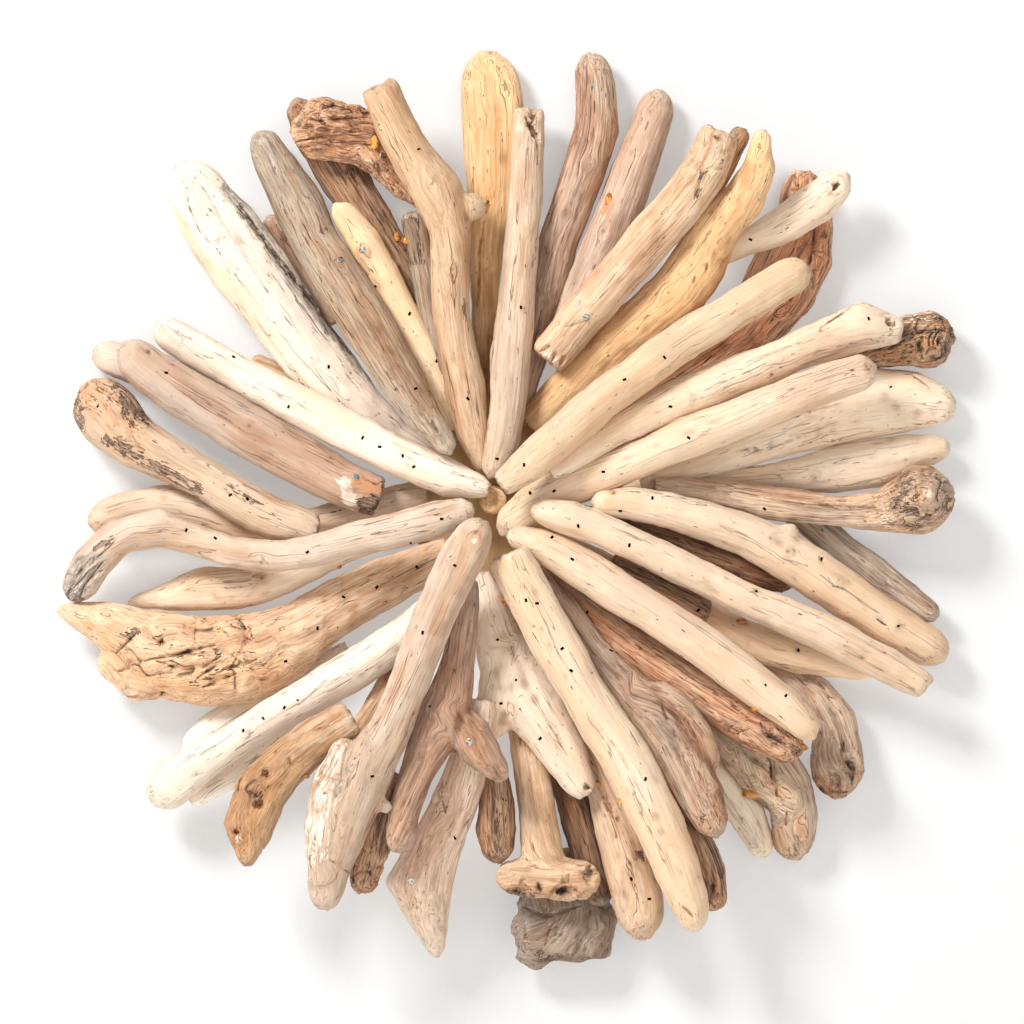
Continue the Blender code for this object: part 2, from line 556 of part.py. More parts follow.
def tooth_cutters():
    """One mesh of wedges that leave a row of teeth along the strip's lower edge."""
    pitch = (HANGER_LENGTH - 2 * HANGER_FOOT) / HANGER_TEETH
    shape = bmesh.new()
    for tooth in range(HANGER_TEETH):
        made = bmesh.ops.create_cone(
            shape, cap_ends=True, segments=3, radius1=TOOTH_DEPTH, radius2=TOOTH_DEPTH, depth=4 * HANGER_STEEL,
            matrix=Matrix.Translation(((tooth + 0.5) * pitch - pitch * HANGER_TEETH / 2, 0,
                                       HANGER_HEIGHT - HANGER_WIDTH / 2))
            @ Matrix.Rotation(math.radians(90), 4, "X"))
        bmesh.ops.recalc_face_normals(shape, faces=list({face for vertex in made["verts"]
                                                         for face in vertex.link_faces}))
    mesh = bpy.data.meshes.new("teeth")
    shape.to_mesh(mesh)
    shape.free()
    item = bpy.data.objects.new("teeth", mesh)
    bpy.context.scene.collection.objects.link(item)
    return item


def hanger():
    """The steel strip, toothed along its lower edge, on two feet that stand on the pocket's floor."""
    item = box((HANGER_LENGTH, HANGER_STEEL, HANGER_WIDTH), (0, -GAP - HANGER_STEEL / 2, HANGER_HEIGHT))
    item.name = item.data.name = "sawtooth_hanger"
    combine(item, tooth_cutters(), "DIFFERENCE")
    height = POCKET_DEPTH - 2 * GAP - HANGER_STEEL / 2
    for side in (-1, 1):
        place = (side * (HANGER_LENGTH - HANGER_FOOT) / 2, GAP - POCKET_DEPTH + height / 2, HANGER_HEIGHT)
        combine(item, box((HANGER_FOOT - 2 * GAP, height, HANGER_WIDTH - 2 * GAP), place), "UNION")
    return item


def peg():
    """The short upright stub in the centre, whose end grain shows between the sticks."""
    bpy.ops.mesh.primitive_cone_add(
        vertices=10, radius1=PEG_RADIUS, radius2=PEG_RADIUS * 0.94, depth=PEG_HEIGHT - DISC_THICKNESS - GAP,
        location=(0, -(PEG_HEIGHT + DISC_THICKNESS + GAP) / 2, 0), rotation=(math.radians(90), 0, 0))
    item = bpy.context.object
    item.name = item.data.name = "centre_peg"
    bpy.ops.object.transform_apply()
    return item


def finish(item, material, collection):
    """Put an object in the model, in its material, with smooth sides and crisp ends."""
    for place in list(item.users_collection):
        place.objects.unlink(item)
    collection.objects.link(item)
    item.data.materials.clear()
    item.data.materials.append(material)
    item.data.shade_smooth()
    item.data.set_sharp_from_angle(angle=math.radians(50))


def main():
    """Build the disc, its hanger and the peg, lay the sticks, and tuck the loose ones up behind the rest."""
    clear_scene()
    decor = new_collection("driftwood_wall_decor")
    materials = {name: new_material(name) for name in COLOURS}
    pile = Pile()
    for item, wood in ((disc(), "plywood"), (hanger(), "steel"), (peg(), "tan")):
        pile.add(item)
        finish(item, materials[wood], decor)
    laid = {}
    for seed, stick in enumerate(STICKS):
        laid[stick.name] = make_stick(stick, seed + 1)
        pile.lay(laid[stick.name], stick)
        finish(laid[stick.name], materials[stick.wood], decor)
    for stick in reversed(STICKS):
        if stick.tucked:
            pile.tuck(laid[stick.name])


main()
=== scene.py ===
"""Looks of the driftwood wall decor: weathered sticks, their nails and glue, on a white wall.

Every stick's solid is copied, remeshed finely, rounded, and given its flutes, knots, dents and burls. Each
vertex then stores where it lies along and across the grain, so that the wood's pattern follows the bends.
"""
from __future__ import annotations

import json
import logging
import math
from dataclasses import dataclass, field, replace
from enum import Enum
from itertools import product

import bpy
import numpy as np
from mathutils import Matrix, Vector
from mathutils.bvhtree import BVHTree

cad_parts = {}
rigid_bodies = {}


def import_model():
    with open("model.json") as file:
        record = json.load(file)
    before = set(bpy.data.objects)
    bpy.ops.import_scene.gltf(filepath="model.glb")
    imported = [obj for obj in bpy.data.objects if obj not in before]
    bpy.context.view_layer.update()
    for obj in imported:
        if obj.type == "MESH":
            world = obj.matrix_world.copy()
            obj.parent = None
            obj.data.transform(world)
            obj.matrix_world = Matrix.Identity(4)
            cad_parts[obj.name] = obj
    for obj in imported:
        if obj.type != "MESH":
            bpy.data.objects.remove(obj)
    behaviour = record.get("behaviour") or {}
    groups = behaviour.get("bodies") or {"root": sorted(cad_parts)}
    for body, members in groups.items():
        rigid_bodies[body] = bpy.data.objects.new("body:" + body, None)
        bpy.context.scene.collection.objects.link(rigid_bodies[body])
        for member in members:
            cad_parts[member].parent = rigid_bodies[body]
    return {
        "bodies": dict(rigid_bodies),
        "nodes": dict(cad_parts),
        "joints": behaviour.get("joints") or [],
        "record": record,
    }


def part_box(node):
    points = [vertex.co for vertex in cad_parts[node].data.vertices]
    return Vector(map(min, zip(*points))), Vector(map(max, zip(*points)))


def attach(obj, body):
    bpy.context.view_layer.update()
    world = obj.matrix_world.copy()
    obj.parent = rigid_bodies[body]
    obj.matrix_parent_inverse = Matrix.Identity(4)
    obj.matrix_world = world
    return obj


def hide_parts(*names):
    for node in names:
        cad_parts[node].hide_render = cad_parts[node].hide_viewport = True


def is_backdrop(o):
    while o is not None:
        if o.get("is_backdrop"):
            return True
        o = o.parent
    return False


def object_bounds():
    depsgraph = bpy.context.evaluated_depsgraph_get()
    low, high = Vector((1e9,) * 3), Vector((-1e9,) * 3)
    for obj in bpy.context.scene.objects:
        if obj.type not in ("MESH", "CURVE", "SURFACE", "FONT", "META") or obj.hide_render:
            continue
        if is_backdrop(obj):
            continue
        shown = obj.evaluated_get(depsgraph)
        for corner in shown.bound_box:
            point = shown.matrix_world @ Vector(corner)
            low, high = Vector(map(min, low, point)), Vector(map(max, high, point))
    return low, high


log = logging.getLogger("driftwood")

Pixel = tuple[float, float]
Colour = tuple[float, float, float]
Box = tuple[Vector, Vector]

PIXEL = 0.553 / 922
CENTRE_PX = (493, 500)
FRAME_PX = 1024
MILLIMETRE = 0.001
MERGE_GAP = 0.00002
BOX_CLEARANCE = 0.0001
SLOPES = np.random.default_rng(5).normal(size=(256, 3))
SLOPES /= np.linalg.norm(SLOPES, axis=1)[:, None]


def on_face(x_px: float, y_px: float) -> tuple[float, float]:
    """A pixel of the photograph as (x, z) on the face, in metres."""
    return (x_px - CENTRE_PX[0]) * PIXEL, (CENTRE_PX[1] - y_px) * PIXEL


def on_faces(points_px: tuple[Pixel, ...]) -> np.ndarray:
    """Rows of (x, z) for a run of pixels."""
    return np.array([on_face(*point) for point in points_px])


def smooth_step(value: np.ndarray, low: float, high: float) -> np.ndarray:
    """0 below low, 1 above high, and a smooth rise between."""
    share = np.clip((value - low) / (high - low), 0, 1)
    return share * share * (3 - 2 * share)


def noise_at(places: np.ndarray, seed: float) -> np.ndarray:
    """Smooth noise from -1 to 1 at each row of places: a random slope at every whole number, blended."""
    shifted = places + seed * np.array([3.1, 7.7, 5.3])
    cells = np.floor(shifted).astype(np.int64)
    part = shifted - cells
    ease = part**3 * (part * (part * 6 - 15) + 10)
    total = np.zeros(len(places))
    for corner in product((0, 1), repeat=3):
        x, y, z = (cells + corner).T
        mixed = (x * 73856093) ^ (y * 19349663) ^ (z * 83492791)
        mixed = (mixed ^ (mixed >> 13)) * 1274126177
        slope = SLOPES[(mixed ^ (mixed >> 16)) & 255]
        total += np.where(corner, ease, 1 - ease).prod(axis=1) * np.einsum("ij,ij->i", slope, part - corner)
    return 1.45 * total


def linear(colour: Colour) -> tuple[float, float, float, float]:
    """A colour as the eye reads it, as the shader's numbers."""
    return (*(((c + 0.055) / 1.055) ** 2.4 if c > 0.04 else c / 12.92 for c in colour), 1.0)


# Shader maths


class Wire:
    """A socket's number or colour, on which Python's operators add Math nodes."""

    def __init__(self, bench: "Bench", socket: bpy.types.NodeSocket) -> None:
        """Keep the socket and the bench it lies on."""
        self.bench, self.socket = bench, socket

    def math(self, operation: str, left: object, right: object = 0.0) -> "Wire":
        """Add one Math node.

        Args:
            operation: Blender's name of the operation.
            left: The first value or wire.
            right: The second value or wire.

        Returns:
            The wire of the result.
        """
        return self.bench.add("ShaderNodeMath", {"operation": operation}, {0: left, 1: right})

    def __add__(self, other: object) -> "Wire":
        """Sum."""
        return self.math("ADD", self, other)

    def __radd__(self, other: object) -> "Wire":
        """Sum, the other first."""
        return self.math("ADD", other, self)

    def __sub__(self, other: object) -> "Wire":
        """Difference."""
        return self.math("SUBTRACT", self, other)

    def __rsub__(self, other: object) -> "Wire":
        """Difference, the other first."""
        return self.math("SUBTRACT", other, self)

    def __mul__(self, other: object) -> "Wire":
        """Product."""
        return self.math("MULTIPLY", self, other)

    def __rmul__(self, other: object) -> "Wire":
        """Product, the other first."""
        return self.math("MULTIPLY", other, self)

    def __abs__(self) -> "Wire":
        """Distance from zero."""
        return self.math("ABSOLUTE", self)


class Bench:
    """One material's node tree, to which nodes are added by type."""

    def __init__(self, name: str) -> None:
        """Start a material with one Principled shader."""
        self.material = bpy.data.materials.new(name)
        self.material.use_nodes = True
        self.nodes = self.material.node_tree.nodes
        self.links = self.material.node_tree.links
        self.shader = self.nodes["Principled BSDF"]

    def feed(self, socket: bpy.types.NodeSocket, value: object) -> None:
        """Link a wire to a socket, or set a plain value on it."""
        if isinstance(value, Wire):
            self.links.new(value.socket, socket)
        elif value is not None:
            socket.default_value = value

    def add(self, kind: str, settings: dict, inputs: dict, output: object = 0) -> Wire:
        """Add a node.

        Args:
            kind: Blender's type name of the node.
            settings: The node's own properties, set first.
            inputs: Values or wires by socket name or number.
            output: Name or number of the socket to return.

        Returns:
            The wire of the output socket.
        """
        node = self.nodes.new(kind)
        for name, value in settings.items():
            setattr(node, name, value)
        for key, value in inputs.items():
            self.feed(node.inputs[key], value)
        return Wire(self, node.outputs[output])

    def step(self, value: Wire, low: float, high: float) -> Wire:
        """0 below low, 1 above high, and a smooth rise between."""
        return self.add("ShaderNodeMapRange", {"interpolation_type": "SMOOTHSTEP"},
                        {0: value, 1: low, 2: high, 3: 0.0, 4: 1.0})

    def blend(self, share: object, first: object, second: object, how: str = "MIX") -> Wire:
        """Mix two colours by a share of the second."""
        return self.add("ShaderNodeMix", {"data_type": "RGBA", "blend_type": how, "clamp_factor": True},
                        {0: share, 6: first, 7: second}, 2)

    def noise(self, place: Wire, scale: float, detail: float, roughness: float = 0.55) -> Wire:
        """Noise from 0 to 1 at a place."""
        return self.add("ShaderNodeTexNoise", {}, {"Vector": place, "Scale": scale, "Detail": detail,
                                                   "Roughness": roughness})

    def stretched(self, place: Wire, factors: tuple[float, float, float]) -> Wire:
        """A place with each of its numbers multiplied."""
        return self.add("ShaderNodeVectorMath", {"operation": "MULTIPLY"}, {0: place, 1: factors})

    def attribute(self, name: str) -> Wire:
        """The vector that a piece's vertices store under a name."""
        return self.add("ShaderNodeAttribute", {"attribute_name": name}, {}, "Vector")

    def parts(self, vector: Wire) -> tuple[Wire, Wire, Wire]:
        """A vector's three numbers."""
        first = self.add("ShaderNodeSeparateXYZ", {}, {0: vector}, 0)
        node = first.socket.node
        return first, Wire(self, node.outputs[1]), Wire(self, node.outputs[2])


# Finishes


@dataclass(frozen=True)
class Wood:
    """How one stick's surface looks. Colours are as the eye reads them; the rest are shares from 0 to 1."""

    light: Colour
    dark: Colour
    grey: Colour = (0.66, 0.60, 0.53)
    stain: Colour = (0.78, 0.58, 0.38)
    streaks: float = 0.60
    weathering: float = 0.25
    cracks: float = 0.55
    pores: float = 0.55
    mottle: float = 0.45
    roughness: float = 0.72
    relief: float = 1.0

    def material(self, name: str) -> bpy.types.Material:
        """Build the wood's nodes.

        Args:
            name: The material's name.

        Returns:
            The finished material.
        """
        bench = Bench(name)
        grain = bench.attribute("grain")
        fine = bench.noise(bench.stretched(grain, (30, 640, 640)), 1, 2, 0.90)
        band = bench.noise(bench.stretched(grain, (9, 170, 170)), 1, 2, 0.58)
        cloud = bench.noise(bench.stretched(grain, (15, 52, 52)), 1, 2, 0.55)
        blotch = bench.noise(bench.stretched(grain, (120, 300, 300)), 1, 2, 0.70)
        ridge = bench.noise(bench.stretched(grain, (16, 380, 380)), 1, 1, 0.5)
        split = (1 - bench.step(abs(ridge - 0.5), 0.003, 0.020)) * bench.step(band, 0.50, 0.62)
        specks = bench.noise(bench.stretched(grain, (190, 470, 470)), 1, 1, 0.5)
        pore = bench.step(specks, 0.68, 0.76) * bench.step(blotch, 0.50, 0.62)
        thread = 1 - bench.step(abs(fine - 0.5), 0.003, 0.022)
        hair = thread * bench.step(cloud + (band - 0.5), 0.44, 0.64)

        colour = self.grown(bench, fine, band, cloud, blotch)
        colour = bench.blend(hair * (0.32 * self.cracks), colour, linear((0.48, 0.36, 0.27)))
        colour = bench.blend(split * self.cracks, colour, linear((0.24, 0.16, 0.11)))
        colour = bench.blend(pore * self.pores, colour, linear((0.30, 0.19, 0.12)))
        colour = self.worn(bench, colour, fine, blotch)

        height = (fine * 0.75 + band * 0.8) * self.relief - split
        bump = bench.add("ShaderNodeBump", {}, {"Strength": 0.85, "Distance": 0.0013, "Height": height})
        bench.feed(bench.shader.inputs["Normal"], bump)
        bench.feed(bench.shader.inputs["Base Color"], colour)
        bench.feed(bench.shader.inputs["Roughness"], fine * 0.25 + (self.roughness - 0.1))
        bench.shader.inputs["Specular IOR Level"].default_value = 0.3
        return bench.material

    def grown(self, bench: Bench, fine: Wire, band: Wire, cloud: Wire, blotch: Wire) -> Wire:
        """The wood's own colour: its streaks, its stains, and where it has gone grey."""
        tone = 0.55 + (fine - 0.5) * (2.4 * self.streaks) + (band - 0.5) * (2.0 * self.streaks)
        colour = bench.blend(bench.step(tone, 0.0, 1.0), linear(self.dark), linear(self.light))
        stained = bench.step(cloud + (band - 0.5) * 0.7, 0.46, 0.72)
        colour = bench.blend(stained * self.mottle, colour, linear(self.stain), "MULTIPLY")
        smudged = bench.step(band + (cloud - 0.5) * 1.2 + (fine - 0.5) * 0.5, 0.60, 0.82)
        colour = bench.blend(smudged * (0.6 * self.mottle), colour, linear((0.66, 0.50, 0.38)), "MULTIPLY")
        greyed = bench.blend(fine, linear(tuple(0.74 * c for c in self.grey)), linear(self.grey))
        weathered = bench.step(0.5 - (cloud - 0.5) + (fine - 0.5) * 0.6, 0.46, 0.66)
        colour = bench.blend(weathered * self.weathering, colour, greyed)
        drift = bench.noise(bench.stretched(bench.attribute("grain"), (7, 30, 30)), 1, 1, 0.5)
        colour = bench.blend(bench.step(drift, 0.52, 0.66) * 0.35, colour,
                             linear((0.95, 0.84, 0.70)), "MULTIPLY")
        cool = bench.step(0.5 - (drift - 0.5) + (blotch - 0.5) * 0.4, 0.54, 0.68)
        return bench.blend(cool * 0.30, colour, linear((0.86, 0.79, 0.80)), "MULTIPLY")

    def worn(self, bench: Bench, colour: Wire, fine: Wire, blotch: Wire) -> Wire:
        """Its marks: bleached, charred, barked and rusty places, ends and dark knot middles; painted shade
        in recesses, dents and burl grooves; ridges lightened, partly as painted highlight and partly as
        rubbed wear.
        """
        bark, rust, bleach = bench.parts(bench.attribute("marks"))
        # The first of these numbers is painted shade in deep dents and grooves, together with the dark
        # middles of knots.
        hollow, end, ash = bench.parts(bench.attribute("shade_and_wear"))
        cavity_shading = bench.parts(bench.attribute("relief"))[0]
        ragged = (blotch - 0.5) * 1.6 + (fine - 0.5) * 1.5
        crisp = bench.step(fine, 0.34, 0.66)
        colour = bench.blend(bench.step(bleach + ragged, 0.35, 0.75), colour,
                             bench.blend(crisp, linear((0.84, 0.76, 0.67)), linear((0.97, 0.91, 0.83))))
        colour = bench.blend(bench.step(rust + ragged * 0.8, 0.2, 1.0) * 0.75, colour,
                             linear((0.76, 0.50, 0.30)))
        colour = bench.blend(bench.step(ash + ragged, 0.38, 0.80) * 0.85, colour,
                             bench.blend(crisp, linear((0.34, 0.30, 0.27)), linear((0.76, 0.70, 0.64))))
        scab = bark + ragged
        skin = bench.blend(crisp, linear((0.42, 0.33, 0.27)), linear((0.60, 0.50, 0.42)))
        skin = bench.blend(bench.step(scab, 0.56, 0.78), linear((0.18, 0.12, 0.09)), skin)
        colour = bench.blend(bench.step(scab, 0.44, 0.54) * 0.92, colour, skin)
        rings = bench.noise(bench.stretched(bench.attribute("grain"), (0, 900, 900)), 1, 1, 0.5)
        ends = bench.blend(rings, linear(tuple(0.72 * c for c in self.dark)), linear(self.light))
        colour = bench.blend(bench.step(end, 0.3, 0.7), colour, ends)
        # Painted shade darkens the recesses; the lightening of the ridges below is partly painted highlight
        # and partly rubbed wear.
        colour = bench.blend(bench.step(cavity_shading + ragged * 0.12, 0.66, 1.0) * 0.6, colour,
                             linear((0.62, 0.47, 0.36)), "MULTIPLY")
        colour = bench.blend((1 - bench.step(cavity_shading, 0.10, 0.42)) * 0.2, colour, linear((0.98, 0.93, 0.85)))
        # Painted shade: near-black where a dent, slit or burl groove is deep; the same mask also darkens the
        # middles of knots, which is their own colour.
        return bench.blend(bench.step(hollow + (blotch - 0.5) * 0.5, 0.12, 1.0) * 0.95, colour,
                           linear((0.13, 0.08, 0.055)))


@dataclass(frozen=True)
class Steel:
    """Zinc-plated or oxidised steel, with rubbed spots."""

    tint: Colour
    stain: Colour
    roughness: float

    def material(self, name: str) -> bpy.types.Material:
        """Build the metal's nodes under a name."""
        bench = Bench(name)
        place = bench.add("ShaderNodeTexCoord", {}, {}, "Object")
        cloud = bench.noise(place, 700, 3, 0.6)
        spots = bench.step(cloud, 0.45, 0.65)
        bench.feed(bench.shader.inputs["Base Color"],
                   bench.blend(spots, linear(self.tint), linear(self.stain)))
        bench.feed(bench.shader.inputs["Roughness"], spots * 0.2 + self.roughness)
        bench.shader.inputs["Metallic"].default_value = 1.0
        return bench.material


@dataclass(frozen=True)
class Glue:
    """Hardened amber glue, clear enough to be darker where it is thick."""

    thin: Colour = (0.86, 0.60, 0.26)
    thick: Colour = (0.62, 0.34, 0.10)

    def material(self, name: str) -> bpy.types.Material:
        """Build the glue's nodes under a name."""
        bench = Bench(name)
        place = bench.add("ShaderNodeTexCoord", {}, {}, "Object")
        cloud = bench.noise(place, 260, 2, 0.5)
        bench.feed(bench.shader.inputs["Base Color"],
                   bench.blend(bench.step(cloud, 0.35, 0.65), linear(self.thin), linear(self.thick)))
        bench.feed(bench.shader.inputs["Roughness"], cloud * 0.15 + 0.12)
        bench.shader.inputs["Coat Weight"].default_value = 0.6
        return bench.material


@dataclass(frozen=True)
class Plywood:
    """Unfinished plywood: plies along the depth, a turn of them every ply_turn, and a rotary-cut face."""

    face: Colour = (0.84, 0.68, 0.48)
    core: Colour = (0.55, 0.38, 0.24)
    ply_turn: float = 1310.0

    def material(self, name: str) -> bpy.types.Material:
        """Build the plywood's nodes under a name."""
        bench = Bench(name)
        place = bench.add("ShaderNodeTexCoord", {}, {}, "Object")
        fibres = bench.noise(bench.stretched(place, (900, 900, 25)), 1, 3, 0.6)
        cathedral = bench.noise(bench.stretched(place, (70, 70, 9)), 1, 2, 0.5)
        _, depth, _ = bench.parts(place)
        wave = bench.add("ShaderNodeMath", {"operation": "SINE"}, {0: depth * self.ply_turn})
        plies = bench.step(abs(wave), 0.30, 0.55)
        face = bench.blend(bench.step(cathedral, 0.35, 0.65) * 0.5, linear(self.face),
                           linear(tuple(0.8 * c for c in self.face)))
        face = bench.blend(fibres * 0.5, face, linear(tuple(0.7 * c for c in self.face)))
        edge = bench.blend(plies, linear(self.core), linear(self.face))
        edge = bench.blend(fibres * 0.6, edge, linear(tuple(0.6 * c for c in self.core)))
        normal = bench.add("ShaderNodeNewGeometry", {}, {}, "Normal")
        _, facing, _ = bench.parts(normal)
        colour = bench.blend(bench.step(abs(facing), 0.4, 0.6), edge, face)
        bench.feed(bench.shader.inputs["Base Color"], colour)
        bench.feed(bench.shader.inputs["Roughness"], fibres * 0.2 + 0.65)
        bump = bench.add("ShaderNodeBump", {}, {"Strength": 0.4, "Distance": 0.0003, "Height": fibres})
        bench.feed(bench.shader.inputs["Normal"], bump)
        return bench.material


class Tone(Enum):
    """The woods that the sticks are picked from."""

    BONE = Wood((0.97, 0.91, 0.84), (0.87, 0.80, 0.71), weathering=0.10, mottle=0.18, streaks=0.32,
                cracks=0.38, relief=0.5)
    CREAM = Wood((0.96, 0.87, 0.77), (0.83, 0.71, 0.58), weathering=0.10, mottle=0.22, streaks=0.34,
                 cracks=0.36, relief=0.5)
    SAND = Wood((0.93, 0.84, 0.74), (0.70, 0.58, 0.47), weathering=0.30, mottle=0.35, relief=0.65)
    TAN = Wood((0.93, 0.80, 0.66), (0.67, 0.51, 0.38), weathering=0.12, mottle=0.40, cracks=0.65,
               relief=0.75)
    HONEY = Wood((0.96, 0.81, 0.61), (0.76, 0.56, 0.37), weathering=0.06, cracks=0.45, relief=0.6)
    ROSE = Wood((0.91, 0.80, 0.71), (0.67, 0.54, 0.45), weathering=0.30, mottle=0.35, relief=0.7)
    MAUVE = Wood((0.89, 0.76, 0.65), (0.48, 0.35, 0.27), weathering=0.28, streaks=0.72, cracks=0.75)
    ASH = Wood((0.80, 0.71, 0.61), (0.48, 0.40, 0.33), weathering=0.50, streaks=0.75, cracks=0.75)
    RUSSET = Wood((0.91, 0.71, 0.56), (0.40, 0.25, 0.17), weathering=0.20, streaks=0.90, cracks=0.9)
    UMBER = Wood((0.84, 0.67, 0.52), (0.31, 0.20, 0.14), weathering=0.20, streaks=0.95, cracks=0.9)
    SLATE = Wood((0.78, 0.68, 0.58), (0.32, 0.25, 0.20), weathering=0.45, streaks=0.90, cracks=0.9,
                 grey=(0.60, 0.54, 0.48))
    SHADE = Wood((0.62, 0.46, 0.34), (0.22, 0.14, 0.10), weathering=0.10, streaks=0.90, cracks=0.8)


class Mark(Enum):
    """What a patch of colour is, as the attribute and the place in it that hold it."""

    BARK = ("marks", 0)
    RUST = ("marks", 1)
    BLEACH = ("marks", 2)
    ASH = ("shade_and_wear", 2)


# Sticks


@dataclass(frozen=True)
class Dent:
    """A dent, slit or groove in the front, along a line on the face. A negative depth is a swelling."""

    line_px: tuple[Pixel, ...]
    width_px: float
    depth: float
    # How strongly the deep part of the dent is darkened, as painted shade.
    dark: float = 0.7

    def share(self, corners: np.ndarray, seed: int) -> np.ndarray:
        """How deep in the dent each corner is: 0 outside, 1 at the bottom; ragged, and thin at its ends."""
        gap, along = beside_line(corners[:, ::2], on_faces(self.line_px))
        taper = np.clip(np.minimum(along, 1 - along) / 0.25, 0.35, 1) if len(self.line_px) > 1 else 1.0
        ragged = 1 + 0.45 * noise_at(corners * 420, seed + 2.0)
        deep = 0.75 + 0.5 * noise_at(corners * 160, seed + 2.3)
        return (1 - smooth_step(gap / (self.width_px * PIXEL / 2 * taper * ragged), 0.0, 1.15)) * deep


@dataclass(frozen=True)
class Patch:
    """A patch of another colour on the front, along a line on the face."""

    mark: Mark
    line_px: tuple[Pixel, ...]
    width_px: float
    share: float = 1.0


@dataclass(frozen=True)
class Knot:
    """A grown-in knot: the grain flows round it, and rings stand in it."""

    x_px: float
    y_px: float
    radius_px: float
    height: float = 0.6
    dark: float = 0.35

    def gap(self, face: np.ndarray) -> np.ndarray:
        """How far each place on the face is from the knot's middle, in its radii."""
        middle = on_faces(((self.x_px, self.y_px),))
        return beside_line(face, middle)[0] / (self.radius_px * PIXEL)


@dataclass(frozen=True)
class Burl:
    """A patch of burl: soft ridges and grooves that wind round each other, the deep parts of some grooves
    darkened as painted shade.
    """

    line_px: tuple[Pixel, ...]
    width_px: float
    depth: float
    # How strongly the deep grooves are darkened, as painted shade.
    dark: float = 0.6
    scale: tuple[float, float, float] = (60, 60, 60)

    def grooves(self, corners: np.ndarray, seed: int) -> tuple[np.ndarray, np.ndarray, np.ndarray]:
        """Work out the burl at every corner.

        Args:
            corners: The piece's vertices.
            seed: The stick's seed.

        Returns:
            The rise in metres, how dark the groove is painted as shade, and how far the grain is pushed
            aside in metres.
        """
        gap = beside_line(corners[:, ::2], on_faces(self.line_px))[0] / (self.width_px * PIXEL / 2)
        ragged = gap + 0.35 * noise_at(corners * 90, seed + 3.7)
        share = 1 - smooth_step(ragged, 0.65, 1.1)
        inside = share > 0
        places, share = corners[inside], share[inside]
        pushed = np.column_stack([noise_at(places * 42, seed + shift) for shift in (4.0, 4.4, 4.8)])
        swirl = np.abs(noise_at((places + 0.016 * pushed) * self.scale, seed + 5.2))
        broken = smooth_step(noise_at(places * 48, seed + 5.6), -0.12, 0.16)
        groove = share * broken * (1 - smooth_step(swirl, 0.0, 0.15))
        rise, dark, push = (np.zeros(len(corners)) for _ in range(3))
        rise[inside] = self.depth * MILLIMETRE * (0.9 * share * noise_at(places * 75, seed + 5.9) - groove)
        # Painted shade, strongest where the groove is deepest.
        dark[inside] = self.dark * smooth_step(groove, 0.35, 0.95)
        push[inside] = 0.006 * share * pushed[:, 0]
        return rise, dark, push


def beside_line(places: np.ndarray, line: np.ndarray) -> tuple[np.ndarray, np.ndarray]:
    """How far each place is from a line of points, and how far along the line its nearest point is, 0 to 1.

    Args:
        places: One row for each place.
        line: The line's points, or a single point.

    Returns:
        The distances and the shares of the line.
    """
    if len(line) == 1:
        return np.linalg.norm(places - line[0], axis=1), np.full(len(places), 0.5)
    lengths = np.linalg.norm(np.diff(line, axis=0), axis=1)
    nearest, along = np.full(len(places), np.inf), np.zeros(len(places))
    for start, end, length, before in zip(line, line[1:], lengths, np.cumsum(lengths) - lengths):
        share = np.clip((places - start) @ (end - start) / length**2, 0, 1)
        gap = np.linalg.norm(places - start - share[:, None] * (end - start), axis=1)
        along = np.where(gap < nearest, (before + share * length) / lengths.sum(), along)
        nearest = np.minimum(nearest, gap)
    return nearest, along


